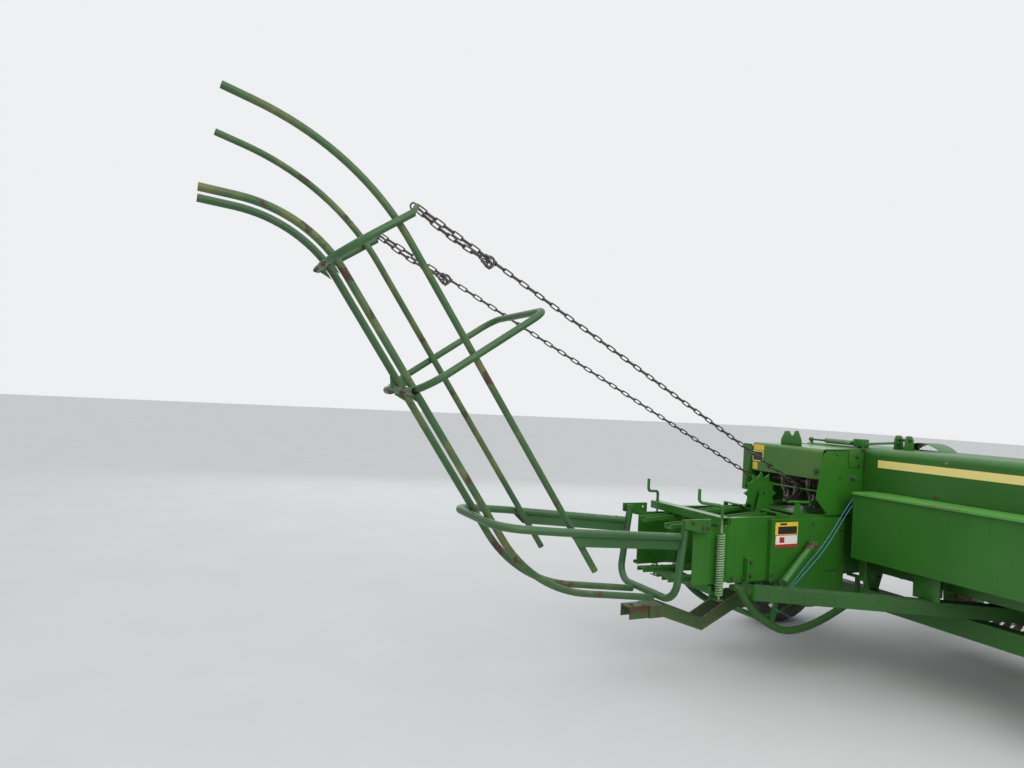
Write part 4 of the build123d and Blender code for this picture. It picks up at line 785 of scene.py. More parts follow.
def film(name, centre, wide, high, normal, material, thick=FILM, corner=4, body="frame"):
    """A thin plate with round corners, wide and high in mm, standing on a face."""
    piece = primitive(name, "plane", size=1)
    piece.scale = (wide * MM, high * MM, 1)
    settle(piece)
    bpy.ops.object.mode_set(mode="EDIT")
    bpy.ops.mesh.select_all(action="SELECT")
    bpy.ops.mesh.bevel(offset=corner * MM, segments=4, affect="VERTICES")
    bpy.ops.mesh.select_all(action="SELECT")
    bpy.ops.mesh.extrude_region_move(TRANSFORM_OT_translate={"value": (0, 0, thick * MM)})
    bpy.ops.object.mode_set(mode="OBJECT")
    face_outward(piece)
    outward, upward = Vector(normal), Vector(UP)
    side_way = upward.cross(outward).normalized()
    place = Matrix.Translation(centre) @ Matrix((side_way, upward, outward)).transposed().to_4x4()
    piece.data.transform(place)
    return finish_piece(piece, material, body)


# Name, X, Z, wide, high, finish, thickness, and how far the plate stands off the face
for name, x, z, wide, high, finish, thick, off in (
        ("upper", 779, 874, 186, 76, yellow_film, FILM, 0.3),
        ("panel", 786, 864, 156, 46, black_print_and_shade_film, THIN, 0.9),
        ("lower", 780, 799, 186, 72, red_film, FILM, 0.3),
        ("foot", 780, 806, 178, 52, white_film, THIN, 0.9),
        ("mark", 742, 806, 40, 34, red_film, THIN, 1.2),
        ("edge", 752, 901, 56, 12, black_print_and_shade_film, THIN, 0.9)):
    film("case_plate_" + name, spot(x, COVER_FACE - off, z), wide, high, RIGHT, finish, thick)
# The same with Y for X, on the hood's rear panel
for name, y, z, wide, high, finish, thick, off in (
        ("upper", 297, 1326, 96, 38, yellow_film, FILM, 0.3),
        ("middle", 304, 1266, 98, 72, stripe_film, FILM, 0.3),
        ("panel", 304, 1266, 86, 60, black_print_and_shade_film, THIN, 0.9),
        ("lower", 328, 1197, 46, 50, yellow_film, FILM, 0.3)):
    film("hood_plate_" + name, spot(HOOD_REAR - off, y, z), wide, high, BACK, finish, thick, body="hood")
STRIPE_INNER, STRIPE_OUTER = -351, -1534
film("housing_stripe", spot(HOUSING_REAR - 0.1, (STRIPE_INNER + STRIPE_OUTER) / 2, 1282),
     STRIPE_INNER - STRIPE_OUTER, 48, BACK, stripe_film, 0.5, 2)

# %% [markdown]
# ## Turned pieces
# Tyres, caps and rings are turned: a profile, drawn once as distance from the axis and place along it, goes
# round the axis with the Screw modifier. Spin in edit mode could do the same, but leaves a seam to close.

# %% Turning tool
def turned(name, profile, centre, axis, steps=32, closed=True):
    """Turns a profile of (radius, along) points in mm round an axis."""
    points = [(radius * MM, 0, along * MM) for radius, along in profile]
    piece = as_mesh(drawn_curve(name, "POLY", points, closed), name)
    modify(piece, "SCREW", angle=2 * pi, steps=steps, render_steps=steps, use_merge_vertices=True,
           merge_threshold=0.00002)
    face_outward(piece, 0.00001)
    piece.data.transform(looking(centre, axis))
    bpy.ops.object.shade_smooth_by_angle(angle=radians(32))
    return piece


def turned_rings(name, profile, places, steps=32):
    """The same profile turned at several (centre, axis) places, as a list of pieces."""
    return [turned(name, profile, centre, axis, steps) for centre, axis in places]


# %% [markdown]
# ## Tyres and wheels
# The ground tyres have plain ribs round the tread, the usual pattern for towed machines. The ribs could be a
# bump in the rubber, but they shape the tyre's outline, so they are in the profile. It is one closed loop,
# from the bead over the sidewall and the ribs to the other bead and back inside.

# %% Tyres
TYRE_HALF = [(205.4, 62), (213, 65), (226, 82), (246, 99), (252, 103), (256, 102), (262, 108), (284, 114.2),
             (300, 114.6), (316, 112), (330, 105), (334, 99), (338, 101), (341, 97), (352, 84), (358, 73),
             (361.4, 66), (362.2, 46), (353, 42), (353, 35), (363.6, 31), (364.6, 14), (354, 10)]
TYRE_INSIDE = [(205.4, -45), (219, -47), (272, -86), (334, -56), (334, 56), (272, 86), (219, 47), (205.4, 45)]
AXLE_X = 1617
WHEEL_AT = {"right": (AXLE_X, -1790, 365), "left": (AXLE_X, 600, 365)}
NUT_CIRCLE, NUT_FACE = 0.091, 0.0408
profile = [(r, -y) for r, y in TYRE_HALF] + [(r, y) for r, y in reversed(TYRE_HALF)] + TYRE_INSIDE[::-1]
for label, (x, y, z) in WHEEL_AT.items():
    side = LEFT if y > 0 else RIGHT
    tyre = turned("ribbed_tyre_" + label, profile, spot(x, y, z), LEFT, 72)
    finish_piece(tyre, tyre_rubber, "wheel_" + label)
    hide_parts("tyre_" + label)
    outward = Vector(side)
    nuts = stamped(bolt("wheel_nut", 21, 11, 3), [
        looking(spot(x, y, z) + outward * NUT_FACE + Vector((cos(a), 0, sin(a))) * NUT_CIRCLE, side, a)
        for a in (radians(18 + 72 * i) for i in range(5))], "wheel_nuts")
    cap = turned("hub_cap", [(0, 84), (14, 83), (24, 80), (30, 74), (34.5, 66), (34.5, 61), (0, 61)],
                 spot(x, y, z), side, 32, closed=False)
    grease = turned("grease_nipple", [(0, 90), (2.5, 90), (4, 87), (3, 85), (5, 83), (5, 80), (0, 80)],
                    spot(x, y, z), side, 12, closed=False)
    valve = round_bar("valve_stem", spot(x + 120, y + 22 * outward.y, z + 121),
                      spot(x + 116, y + 62 * outward.y, z + 117), 0.005, 12)
    finish_piece(joined([nuts, cap, grease], "wheel_fittings_" + label), old_steel, "wheel_" + label)
    finish_piece(valve, dark_rubber, "wheel_" + label)

# %% [markdown]
# ## Under the hood
# Two knotters sit on one shaft. Each has a toothed ring, a pinion, thin notched twine discs with their
# holder and knife arm, the bill hook that turns the knot, and a wiper arm with its spring. The same stack is
# built at both twine planes.

# %% Gear teeth
def gear_ring(name, radius, teeth, wide, deep=5):
    """Teeth round a disc whose axis is Y."""
    tooth = primitive("tooth", "cube", size=1)
    tooth.scale = (deep * 2 * MM, wide * MM, radius * 2.4 / teeth * MM)
    edit_where(settle(tooth), lambda co: co.x > 0, lambda: bpy.ops.transform.resize(value=(1, 1, 0.5)))
    tooth.data.transform(Matrix.Translation((radius * MM, 0, 0)))
    return stamped(tooth, [Matrix.Rotation(2 * pi * i / teeth, 4, "Y") for i in range(teeth)], name)


# %% Knotters
SHAFT = (1262, 1120)
NEEDLE_Y = (-105, 105)


def knotter_stack(name, y):
    """One knotter, its parts placed from the shaft's centre at twine plane y."""
    def near(dx, dy, dz):
        """A place near the shaft."""
        return spot(SHAFT[0] + dx, y + dy, SHAFT[1] + dz)
    teeth = gear_ring("cam_teeth", 126, 30, 9)
    teeth.data.transform(Matrix.Translation(near(0, 26, 0)))
    rim = turned("cam_rim", [(96, 12), (118, 12), (121, 15), (121, 19), (96, 19)], near(0, 0, 0), LEFT, 40)
    # The needle passes between dy -8 and 8, so nothing stands there
    pinion = gear_ring("pinion", 24, 12, 8, 4)
    pinion.data.transform(Matrix.Translation(near(-92, 16, -34)))
    core = round_bar("pinion_core", near(-92, 12, -34), near(-92, 20, -34), 0.022)
    discs = [turned("twine_disc", [(8, -1), (38, -1), (39, 0), (38, 1), (8, 1)],
                    near(-72, 14 + 4 * i, -104), LEFT, 24) for i in range(3)]
    notches = stamped(box_piece("notch", (0.034, -0.005, -0.004), (0.043, 0.005, 0.004)),
                      [Matrix.Translation(near(-72, 18, -104)) @ Matrix.Rotation(i * pi / 2 + 0.4, 4, "Y")
                       for i in range(4)], "notches")
    bill = bent_wire("bill_hook", [near(-118, -24, -64), near(-118, -24, -92), near(-124, -24, -118),
                                   near(-142, -25, -132), near(-158, -30, -128)], 0.0065)
    jaw = bent_wire("bill_jaw", [near(-119, -20, -84), near(-128, -19, -108), near(-144, -20, -120),
                                 near(-156, -22, -119)], 0.004)
    wiper = bent_wire("wiper_arm", [near(-40, -38, -40), near(-70, -40, -84), near(-112, -38, -112),
                                    near(-140, -34, -106), near(-152, -24, -96)], 0.006)
    spring = coil("wiper_spring", 8, 1.5, 14, 4.2, 12, 6)
    spring.data.transform(looking(near(-6, -42, -62), (-0.75, 0, -0.66)))
    pads = [box_piece("holder", near(-112, -22, -128), near(-64, -16, -92)),
            box_piece("knife_arm", near(-64, 20, -142), near(-40, 27, -60))]
    return joined([teeth, rim, pinion, core, notches, bill, jaw, wiper, spring] + discs + pads, name)


for y, label in zip(NEEDLE_Y, ("right", "left")):
    finish_piece(knotter_stack("knotter_parts_" + label, y), worked_steel, "frame")

# %% [markdown]
# ## Hood and housing details
# The hood is held by two rubber latches on its rear panel and hinges at its front corners, where a bolted
# plate carries the hinge. A rubber stop sits under that plate. Moulded rubber is round and soft-edged, so
# these parts are turned from a profile, and only the plate is a block.

# %% Hood details
HOOD_FACE, HINGE_FACE = -250.4, -256.2      # Y of the hood's right side and of the hinge plate on it
latch_parts, latch_rings = [], []
for y, z in ((197, 1218), (-196, 1220)):
    at = spot(HOOD_REAR + 0.2, y, z)
    latch_rings.append(turned("latch_ring", [(13, 0), (19, 0), (20, 2), (18, 5), (13, 4)], at, BACK, 24))
    latch_parts.append(turned("latch_knob", [(0, 16), (7, 15), (11, 11), (12, 4), (12, 0), (0, 0)], at, BACK,
                              20, closed=False))
    latch_parts.append(box_piece("latch_tab", spot(1070, y - 4, z - 26), spot(HOOD_REAR - 0.4, y + 4, z + 4)))
finish_piece(joined(latch_rings, "latch_rings"), green, "hood")
finish_piece(joined(latch_parts, "hood_latches"), dark_rubber, "hood")

hinge_plate = box_piece("hood_hinge_plate", spot(1304, HINGE_FACE, 1247), spot(1438, HOOD_FACE, 1368), 0.0015)
finish_piece(hinge_plate, green, "frame")
stop_rubber = turned("hood_stop", [(0, 22), (9, 21), (13, 17), (14, 6), (17, 4), (17, 0), (0, 0)],
                     spot(1347, HOOD_FACE - 0.1, 1180), RIGHT, 24, closed=False)
finish_piece(stop_rubber, dark_rubber, "frame")
HINGE_X, HINGE_Z = 1430, 1364
hinge_bolts = [bolt_at(spot(x, y, z), RIGHT, size, 0.3)
               for x, y, z, size in ((1373, HINGE_FACE - 0.2, 1317, 19), (1394, HINGE_FACE - 0.2, 1264, 17),
                                     (1232, HOOD_FACE, 1184, 9))]
hinge_bolts += [bolt_at(spot(HINGE_X, 366.4, HINGE_Z), LEFT, 22, head=9),
                bolt_at(spot(HINGE_X, HINGE_FACE - 0.4, HINGE_Z), RIGHT, 22, head=9)]
finish_piece(joined(hinge_bolts, "hinge_bolts"), bolt_steel, "frame")

round_head = turned("housing_bolt", [(0, 7), (6, 6), (10, 3), (11, 0), (0, 0)],
                    spot(HOUSING_REAR, -790, 1328), BACK, 20, closed=False)
finish_piece(round_head, worked_steel, "frame")

# %% [markdown]
# ## Ears on the hood
# A plate with a high and a low ear stands across the hood. Its edge is all curves and slopes, which a
# primitive would need many cuts for, so it is cut from an outline of a few points.

# %% Ears on the hood
EARS = [(156, 1359), (156, 1396), (124, 1454), (87, 1456), (68, 1428), (52, 1428), (39, 1458), (12, 1462),
        (-19, 1400), (-19, 1359)]
ears = cut_plate("hood_ears", EARS, 5, LEFT, UP, spot(1138.5, 0, 0))
finish_piece(ears, green, "hood")

# %% [markdown]
# ## On the housing's roof
# A compressed spring on a rod runs along the roof's rear edge, with a pull rod from its block to a clevis,
# and an arched cover lies ahead of them. They take the place of the plainer CAD fittings. The plates are
# cut from outlines, the arch from a formula, and the spring is the coil that was made before.

# %% Roof fittings
ROOF = 1378.3
ROD_X, ROD_Z = 1480, 1400
PIN_X, PIN_Z = 1645, 1440
CLEVIS = [(1600, ROOF), (1690, ROOF), (1684, ROOF + 66), (1664, ROOF + 90), (1620, ROOF + 90),
          (1604, ROOF + 66)]
roof = [cut_plate("clevis_plate", CLEVIS, 8, FRONT, UP, spot(0, y, 0)) for y in (-420, -348)]
ARCH_Y, ARCH_RADIUS, ARCH_REACH, ARCH_WALL = -412.5, 201.5, radians(41), 4
arch_low = ROOF - ARCH_RADIUS * cos(ARCH_REACH)
ARCH_STEPS = [ARCH_REACH * (i / 8 - 1) for i in range(17)]
arch = [(ARCH_Y + ARCH_RADIUS * sin(a), arch_low + ARCH_RADIUS * cos(a)) for a in ARCH_STEPS]
arch += [(ARCH_Y + (ARCH_RADIUS - ARCH_WALL) * sin(a), arch_low + 0.6 + (ARCH_RADIUS - ARCH_WALL) * cos(a))
         for a in reversed(ARCH_STEPS)]
roof.append(cut_plate("arched_cover", arch, 170, LEFT, UP, spot(1855, 0, 0)))
roof.append(box_piece("rod_block", spot(1446, -236, ROOF), spot(1510, -166, 1430), 0.003))
roof.append(round_bar("spring_rod", spot(ROD_X, -170, ROD_Z), spot(ROD_X, 216, ROD_Z), 0.007))
roof.append(box_piece("rod_end_lug", spot(ROD_X - 12, 196, ROOF), spot(ROD_X + 12, 206, ROD_Z + 14), 0.002))
roof.append(round_bar("pull_rod", spot(ROD_X, -230, ROD_Z), spot(PIN_X, -360, ROD_Z + 20), 0.008))
rod_nuts = [looking(spot(ROD_X, y, ROD_Z), way) for y, way in ((206.2, LEFT), (74, LEFT), (-134, RIGHT))]
roof.append(stamped(bolt("nut", 22, 10), rod_nuts, "rod_nuts"))
roof = finish_piece(joined(roof, "roof_fittings"), green, "frame")
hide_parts("top_fittings")
roof_spring = coil("roof_spring", 14.5, 3, 26, 200 / 26)
roof_spring.data.transform(looking(spot(ROD_X, -130, ROD_Z), LEFT))
finish_piece(roof_spring, spring_coat, "frame")
clevis_pin = joined([round_bar("clevis_pin", spot(PIN_X, -430, PIN_Z), spot(PIN_X, -338, PIN_Z), 0.009),
                     bolt_at(spot(PIN_X, -424.3, PIN_Z), RIGHT, 20),
                     bolt_at(spot(PIN_X, -343.7, PIN_Z), LEFT, 20)], "clevis_bolt")
finish_piece(clevis_pin, bolt_steel, "frame")

# %% [markdown]
# ## Twine box
# The lid is worn bright along the lip where hands open it, and turns on knuckles along its front edge. One
# long bar could stand for them, but short tubes show the gaps between them.

# %% Lid details
LID_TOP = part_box("twine_box_lid")[1].z / MM


def on_lid(x, y, lift=0.0):
    """A place on the lid's top surface."""
    return spot(x, y, LID_TOP + lift)


knuckles = turned_rings("knuckle", [(6.4, 0), (9, 0), (9, 48), (6.4, 48)],
                        [(on_lid(1430, y, -6), LEFT) for y in (-1440, -1380, -1320, -600, -540, -480)], 16)
finish_piece(joined(knuckles, "lid_knuckles"), green, "twine_box_lid")
stud = turned("wall_stud", [(0, 6), (7, 5.4), (10, 3), (11, 0), (0, 0)], spot(HOUSING_REAR, -738, 1130),
              BACK, 16, closed=False)
finish_piece(stud, old_steel, "frame")
lip_wear = bent_wire("lid_lip_wear", [on_lid(1209.4, -820, -3), on_lid(1208.6, -880, -3.4),
                                      on_lid(1208.4, -960, -3.6), on_lid(1209.4, -1030, -3)], 0.0028, 2)
finish_piece(lip_wear, worked_steel, "twine_box_lid")

# %% [markdown]
# ## Strut, guards and posts
# The strut slopes from a rusty pipe clamp on the case to the beam. The tubes that guard the needles are one
# long sweep each. Extruded bend by bend they would kink, so a smooth curve with four control points draws
# them. Two angle posts stand between the beam and the box.

# %% Strut and guards
STRUT_TOP, STRUT_FOOT, STRUT_RADIUS = spot(970, -290.5, 772), spot(675, -352.5, 578), 0.023
BEAM_HALF = 0.0392
CASE_LOW, CASE_OUT, BRACKET_FACE = 562.7, 234.8, -242.5
POST_LOW, POST_TOP = 558.4, 699.6
mounts = [round_bar("strut_tube", STRUT_TOP, STRUT_FOOT, STRUT_RADIUS, 28, 0.002),
          box_piece("strut_seat", spot(946, -316, 748), spot(994, -260.8, 796), 0.003)]
for name, low, high in (
        ("bracket_arm", (470, -340, 480), (478, -271, 566)),
        ("bracket_upright", (470, -270.5, 480), (478, -CASE_OUT, 710)),
        ("bracket_plate", (478.2, BRACKET_FACE, CASE_LOW), (540, -CASE_OUT, 710)),
        ("post_flange", (1290, -886, POST_LOW), (1297.5, -726, POST_TOP)),
        ("post_web", (1298, -812, POST_LOW), (1430, -804, POST_TOP - 6.2)),
        ("post_cap", (1298, -830, POST_TOP - 6), (1430, -760, POST_TOP)),
        ("inner_flange", (1290, -422, POST_LOW), (1297.5, -370, POST_TOP)),
        ("inner_web", (1298, -378, POST_LOW), (1430, -370, POST_TOP))):
    mounts.append(box_piece(name, spot(*low), spot(*high)))
mounts = finish_piece(joined(mounts, "beam_fittings"), green, "frame")
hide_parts("beam_mounts")

GUARD_Y, GUARD_RADIUS = 286.5, 22
guards = []
for side in SIDES:
    y = side * GUARD_Y
    inner, outer = y - 11, y + 11
    guards.append(bent_wire("guard_tube", [spot(388, y, 555), spot(508, y, 367), spot(911, y, 203),
                                           spot(1390, y, 427)], GUARD_RADIUS * MM, 6))
    guards.append(box_piece("guard_rear_foot", spot(366, side * CASE_OUT, 529), spot(412, y, 557), 0.002))
    guards.append(box_piece("guard_front_leg", spot(1376, inner, 424), spot(1400, outer, 551), 0.002))
    guards.append(box_piece("guard_front_foot", spot(1372, side * 214.5, 547),
                            spot(1404, y + side * 11, 562), 0.002))
# The guards take the darker green, which is painted shade.
guards = finish_piece(joined(guards, "swept_guards"), shaded_low_green, "frame")
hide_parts("needle_guards")

# %% [markdown]
# ## Clamp and holes
# A rusty clamp holds the strut's upper end. Empty bolt holes could be cut with a Boolean modifier, but the
# CAD meshes stay whole, and at this size a thin dark disc looks the same: its black is painted shade for the
# dark inside of the hole.

# %% Strut clamp and holes
strut_way = (STRUT_TOP - STRUT_FOOT).normalized()
band_places = [(STRUT_TOP - strut_way * offset, strut_way) for offset in (0.012, 0.040)]
clamp = turned_rings("clamp_band", [(23, -9), (27, -9), (28, -6), (28, 6), (27, 9), (23, 9)], band_places, 28)
clamp += [round_bar("clamp_bolt", at + Vector((0, -0.004, 0.022)), at + Vector((0, -0.004, 0.044)), 0.006, 12)
          for at, _ in band_places]
clamp.append(bolt_at(STRUT_TOP + Vector((0, -0.028, 0.004)), RIGHT, 19))
finish_piece(joined(clamp, "strut_clamp"), old_steel, "frame")


def hole(radius, centre, way):
    """An empty bolt hole, as a thin dark disc: its black is painted shade for the dark inside."""
    return turned("hole", [(0, 0.3), (radius, 0.3), (radius + 0.6, 0), (0, 0)], centre, way, 20, closed=False)


holes = [hole(radius, spot(x, COVER_FACE, z), RIGHT)
         for x, z, radius in ((1052, 666, 6), (1212, 674, 6), (1250, 609, 5), (684, 640, 4), (705, 880, 4),
                              (1110, 900, 5), (1180, 880, 5), (960, 620, 4))]
beam_start = spot(500, -305, 0)
beam_way = (spot(1960, -1235, 0) - beam_start).normalized()
beam_side = Vector((beam_way.y, -beam_way.x, 0))
beam_face = beam_start + beam_side * BEAM_HALF
holes += [hole(5, beam_face + beam_way * reach * MM + Vector((0, 0, lift * MM)), beam_side)
          for reach, lift in ((70, 518), (260, 524), (430, 520), (900, 520), (1180, 520))]
# The slot is a dark strip of painted shade as well.
holes.append(box_piece("slot", spot(1102, COVER_FACE - 0.4, 594), spot(1232, COVER_FACE + 0.2, 600), 0.0002))
finish_piece(joined(holes, "painted_shade_bolt_holes"), black_print_and_shade_film, "frame")

# %% [markdown]
# ## Bolts in rows
# The same bolt again, for the far side, the chute, the front end and the moving parts. A flange has its
# bolts round a circle, so those places come from a formula and not from a list.

# %% Rows of bolts
def bolted(name, body, places):
    """Bolts on one body: places are (x, y, z, direction, size)."""
    made = [bolt_at(spot(x, y, z), way, size, 0.7 * i) for i, (x, y, z, way, size) in enumerate(places)]
    return finish_piece(joined(made, name), bolt_steel, body)


def round_places(count, first, radius, high):
    """Places round a circle, as the distance across and the height."""
    angles = [radians(first + 360 / count * i) for i in range(count)]
    return [(radius * cos(a), high + radius * sin(a)) for a in angles]


# %% More bolts
HOUSING_END, PICKUP_FACE = -1546.4, -1800.4     # Y of the outer ends of housing and pickup
DRIVE_Z = 800                                   # Z of the flywheel's shaft
REEL = (2440, 415)                              # X and Z of the pickup reel's axis
bolted("bracket_bolts", "frame", [
    (520, BRACKET_FACE - 0.3, 681, RIGHT, 19), (520, BRACKET_FACE - 0.3, 600, RIGHT, 19),
    (1289.6, -398, 635, BACK, 17), (1289.6, -398, 600, BACK, 15)])
bolted("crankcase_bolts", "frame", [(3175.4, y, z, FRONT, 17) for y, z in round_places(9, 20, 168, DRIVE_Z)])
bolted("flywheel_bolts", "flywheel", [(3385, y, z, FRONT, 13) for y, z in round_places(6, 0, 47, DRIVE_Z)])
bolted("guard_bolts", "frame", [(3275.7, y, z, BACK, size) for y, z, size in (
    (-150, 970, 19), (150, 970, 19), (-60, 1060, 13), (60, 1060, 13))])
bolted("sill_bolts", "frame", [(3450 + dx, side * 196, 520.2, UP, 22) for dx in (-40, -10) for side in SIDES]
       + [(3560, 0, 520.3, UP, 46)])
bolted("axle_bolts", "frame", [(AXLE_X + dx, side * CASE_OUT, 520, (0, side, 0), 19)
                               for dx in (-45, 45) for side in SIDES])
bolted("chute_pivot_bolts", "chute", [(-100, side * 272, 872, (0, side, 0), 15) for side in SIDES])
bolted("hanger_bolts", "frame", [(x, side * 306.4, z, (0, side, 0), 19)
                                 for side in SIDES for x, z in ((22, 938), (96, 905), (130, 905))])
bolted("bearing_bolts", "frame", [(1790 + dx, HOUSING_END, 790 + dz, RIGHT, 15)
                                  for dx in (-40, 40) for dz in (-40, 40)])
bolted("housing_end_bolts", "frame", [(x, HOUSING_END, z, RIGHT, 13) for x, z in (
    (1500, 640), (1700, 640), (1950, 640), (2090, 740), (1490, 900), (1490, 1180), (1560, 1340),
    (1760, 1340), (1940, 1335))])
pickup_places = [(REEL[0] + x, z) for x, z in round_places(4, 45, 60, REEL[1])]
pickup_places += [(2160, 540), (2300, 660), (2600, 560), (2640, 400), (2260, 240)]
bolted("pickup_bolts", "pickup", [(x, PICKUP_FACE, z, RIGHT, 13) for x, z in pickup_places])
bolted("clevis_bolts", "tongue", [(5166.4, y, z, FRONT, 17) for y in (-32, 32) for z in (414, 486)])

# %% [markdown]
# ## Spring tines
# Every tine springs on a coil that is wound round its bar. One coil with few faces is modelled and copied
# to the four bars of the reel, because it is repeated more often than anything else here.

# %% Spring tines
BAR_RADIUS = 143
BAND_START, BAND_PITCH, BANDS = -1762, 66, 21
tine_coil = coil("tine_coil", 16.5, 2.8, 4, 6.2, 14, 6)
places = []
for spoke in range(4):
    angle = radians(20 + 90 * spoke)
    for i in range(BANDS - 1):
        y = BAND_START + BAND_PITCH * (i + 1)
        for shift in (-28, 3.5):
            centre = spot(REEL[0] + BAR_RADIUS * cos(angle), y + shift, REEL[1] + BAR_RADIUS * sin(angle))
            places.append(looking(centre, LEFT, 0.4 * i))
finish_piece(stamped(tine_coil, places, "tine_coils"), worked_steel, "pickup_reel")

# %% [markdown]
# ## Driveline and jack
# The shield of the driveline has ribs and a flared bell over its rear joint, and the front joint has a
# collar with a lock pin. The jack's crank has a black grip, and two collars stand on its tube.

# %% Driveline and jack
JACK_X, JACK_Y = 4560, 130
DRIVE_FROM = Vector((3590, 0, DRIVE_Z))
DRIVE_LONG = 1210
drive_way = Vector((DRIVE_LONG, 0, -150)).normalized()


def along_drive(reach):
    """A place on the driveline's axis."""
    place = DRIVE_FROM + drive_way * reach
    return spot(place.x, place.y, place.z)


RIB_PROFILE = ((-1, -4), (1.6, -4), (2.4, 0), (1.6, 4), (-1, 4))
SHIELD_RIBS = {46: (52, 64, 180, 300, 420, 540), 38: (566, 700, 840, 980, 1120)}    # radius: places along it
shield = [turned("shield_rib", [(radius + out, along) for out, along in RIB_PROFILE], along_drive(reach),
                 drive_way, 32) for radius, places in SHIELD_RIBS.items() for reach in places]
shield.append(turned("shield_bell", [(46, 66), (52, 30), (60, 6), (62, 4), (60, 3), (50, 28), (44, 64)],
                     along_drive(0), drive_way, 32))
finish_piece(joined(shield, "driveline_shield"), dark_plastic, "tongue")
collar = turned("joint_collar", [(30, -36), (33, -34), (34, -26), (33, -18), (30, -16)],
                along_drive(DRIVE_LONG), drive_way, 24)
lock_at = along_drive(DRIVE_LONG - 26)
lock = round_bar("lock_pin", lock_at + Vector((0, 0.028, 0)), lock_at + Vector((0, 0.042, 0)), 0.006, 12)
finish_piece(joined([collar, lock], "driveline_joint"), worked_steel, "tongue")
grip = turned("jack_grip", [(8, 0), (13, 2), (15, 12), (14, 30), (15, 40), (12, 46), (8, 47)],
              spot(JACK_X + 120, JACK_Y, 754), UP, 20)
finish_piece(grip, dark_rubber, "jack")
collars = turned_rings("jack_collar", [(30, -12), (35, -12), (36, -9), (36, 9), (35, 12), (30, 12)],
                       [(spot(JACK_X, JACK_Y, z), UP) for z in (150, 716)], 28)
jack_pin = round_bar("jack_pin", spot(JACK_X, 94, 150), spot(JACK_X, 170, 150), 0.006, 12)
finish_piece(joined(collars + [jack_pin], "jack_collars"), green, "jack")

# %% [markdown]
# ## Chute details
# The hoops were made in parts and joined by sleeves. The seam at each end of a sleeve has rusted. Bolts
# clamp the lower rails to the hoops.

# %% Chute details
STEEP = radians(55.3)
MID_CROSS, UPPER_CROSS = (-1575.9, 1605.4), (-1983.7, 2184.7)
HOOP_BELOW = 37.3


def on_hoop(cross, along, y):
    """A point on a hoop's plane, so far forward and up of the lower rails."""
    return spot(cross[0] + along * sin(STEEP), y, cross[1] + along * cos(STEEP))


JOINTS = ((MID_CROSS, -205), (MID_CROSS, 205), (UPPER_CROSS, 0))
sleeves = turned_rings("sleeve", [(18, -42), (20.5, -41), (21, -38), (21, 38), (20.5, 41), (18, 42)],
                       [(on_hoop(cross, -HOOP_BELOW, y), LEFT) for cross, y in JOINTS], 24)
finish_piece(joined(sleeves, "hoop_sleeves"), chute_green, "chute")
seam_places = [(on_hoop(cross, -HOOP_BELOW, y + end), LEFT) for cross, y in JOINTS for end in (-43, 43)]
seams = turned_rings("rust_seam", [(17.9, -2), (19.6, -1.4), (19.9, 0), (19.6, 1.4), (17.9, 2)], seam_places,
                     24)
finish_piece(joined(seams, "rust_seams"), old_steel, "chute")
hoop_bolts = []
below = (-sin(STEEP), 0, -cos(STEEP))
for cross in (MID_CROSS, UPPER_CROSS):
    for y in (-101, 101):
        hoop_bolts.append(bolt_at(on_hoop(cross, -HOOP_BELOW - 18.2, y + 26), below, 17))
        hoop_bolts.append(round_bar("u_bolt", on_hoop(cross, -HOOP_BELOW - 17, y - 24),
                                    on_hoop(cross, -HOOP_BELOW - 30, y - 24), 0.005, 12))
finish_piece(joined(hoop_bolts, "hoop_bolts"), old_steel, "chute")

# %% [markdown]
# ## Twine
# Two thin strands run from the twine box down the side of the case, past the strut, to an eyelet of white
# glaze under the beam, and a third goes on from there to the guard tube. A taut strand bends only where it
# touches something, so each is a curve through points chosen at those places.

# %% Twine
def twine(name, *places):
    """A taut strand between two fixed places, through a few others."""
    points = [spot(*place) for place in places]
    piece = drawn_curve(name, "NURBS", points, bevel_depth=0.0016, bevel_resolution=2, use_fill_caps=True)
    piece.data.materials.append(blue_twine)
    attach(piece, "frame")


EYELET = (652, -282, 428)


def near_eyelet(dx, dy, dz):
    """A place near the eyelet."""
    return EYELET[0] + dx, EYELET[1] + dy, EYELET[2] + dz


twine("twine_upper", (1226, -361, 1066), (1222, -352, 1060), (1031, -318, 772), (860, -330, 650),
      (752, -346, 566), (690, -300, 470), near_eyelet(6, 0, 6))
twine("twine_lower", (1240, -361, 1040), (1234, -352, 1034), (1040, -322, 742), (880, -336, 634),
      (770, -350, 562), (696, -298, 462), near_eyelet(4, -2, 4))
twine("twine_thin", near_eyelet(4, 8, -8), (760, -262, 368), (880, -256, 318), (985, -266, 284))
eyelet = turned("eyelet", [(3.5, -9), (9, -10), (11, -7), (8, 0), (11, 7), (9, 10), (3.5, 9)], spot(*EYELET),
                (0.6, -0.5, 0.6), 24)
finish_piece(eyelet, white_film, "frame")
print("details done")

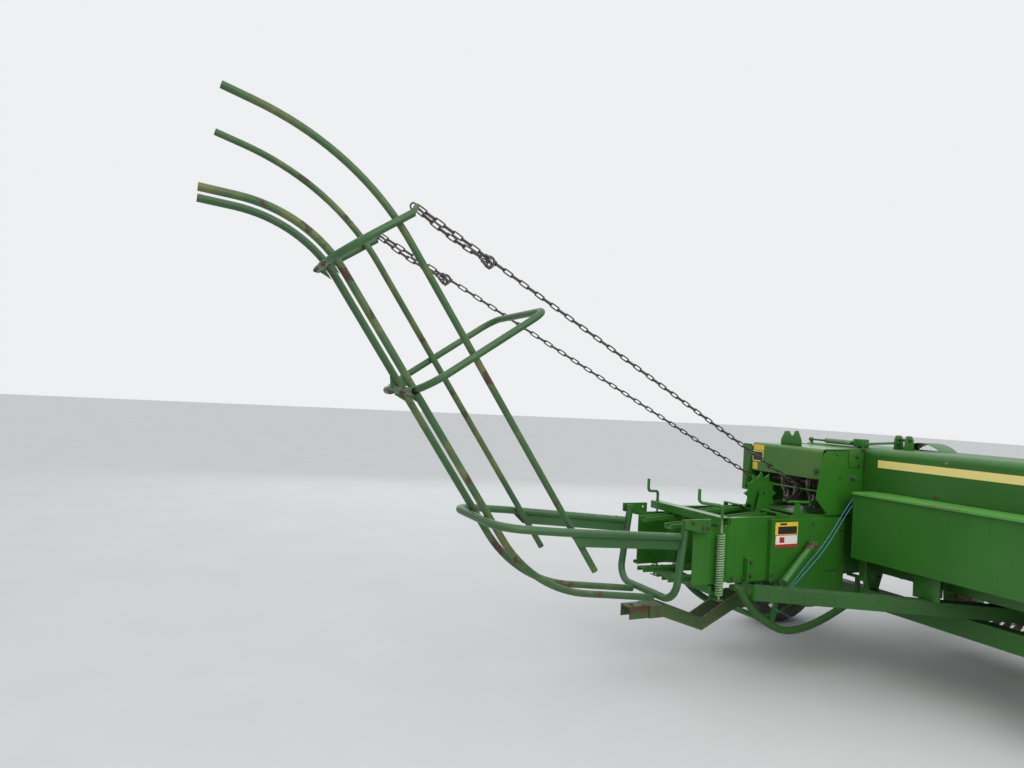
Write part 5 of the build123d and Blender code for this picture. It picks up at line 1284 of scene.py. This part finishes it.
# %% [markdown]
# ## Floor and light
# A plain pale floor and an even, soft light from above, as under an overcast sky. The world is brighter
# overhead than at the horizon. One large lamp from the right gives the sides their shape, and a second one
# behind the machine stands in for the bright sky that the bent edges of hood, beam and housing reflect.

# %% Floor
floor = primitive("studio_floor", "plane", size=120)
floor_material, tree, shader, where = new_material("studio_floor")
mottle = noise(tree, where, 1.5, 5)
floor_colour = blend_colour(tree, mottle, rgb(0.47, 0.468, 0.46), rgb(0.53, 0.528, 0.52))
feed(tree, shader, {"Base Color": floor_colour, "Roughness": 0.9})
floor.data.materials.append(floor_material)
print("floor", floor.dimensions.x, "m wide")

# %% Sky
world = bpy.data.worlds.new("soft_sky")
bpy.context.scene.world = world
world.use_nodes = True
tree = world.node_tree
tree.nodes.clear()
direction = put(tree, "TexCoord").outputs["Generated"]
height = put(tree, "SeparateXYZ", {0: direction})
rise = ranged(tree, height.outputs["Z"], (-0.1, 0.9), (0.25, 1.45))
sky = put(tree, "Background", {"Color": rgb(0.93, 0.97, 1.0), "Strength": rise})
backdrop = put(tree, "Background", {"Color": rgb(0.86, 0.87, 0.88), "Strength": 1.0})
path = put(tree, "LightPath")
seen = maths(tree, "MAXIMUM", path.outputs["Is Camera Ray"], path.outputs["Is Transmission Ray"])
output = put(tree, "OutputWorld")
feed(tree, output, {"Surface": put(tree, "MixShader", {0: seen, 1: sky, 2: backdrop})})
print("world", world.name, len(tree.nodes), "nodes")


def soft_lamp(name, wide, high, watts, colour, at, target):
    """A large rectangular lamp that looks at a place."""
    data = bpy.data.lights.new(name, "AREA")
    data.shape, data.size, data.size_y = "RECTANGLE", wide, high
    data.energy, data.color = watts, colour
    lamp = into_scene(name, data)
    lamp.location = at
    lamp.rotation_euler = (target - lamp.location).to_track_quat("-Z", "Y").to_euler()
    print(name, watts, "W")


# %% Lamps
soft_lamp("soft_key", 7, 5, 270, (1.0, 0.98, 0.95), spot(-400, -7000, 4800), spot(600, 0, 800))
soft_lamp("far_sky", 12, 4, 150, (0.94, 0.97, 1.0), spot(3600, 7800, 3800), spot(1200, -400, 1200))
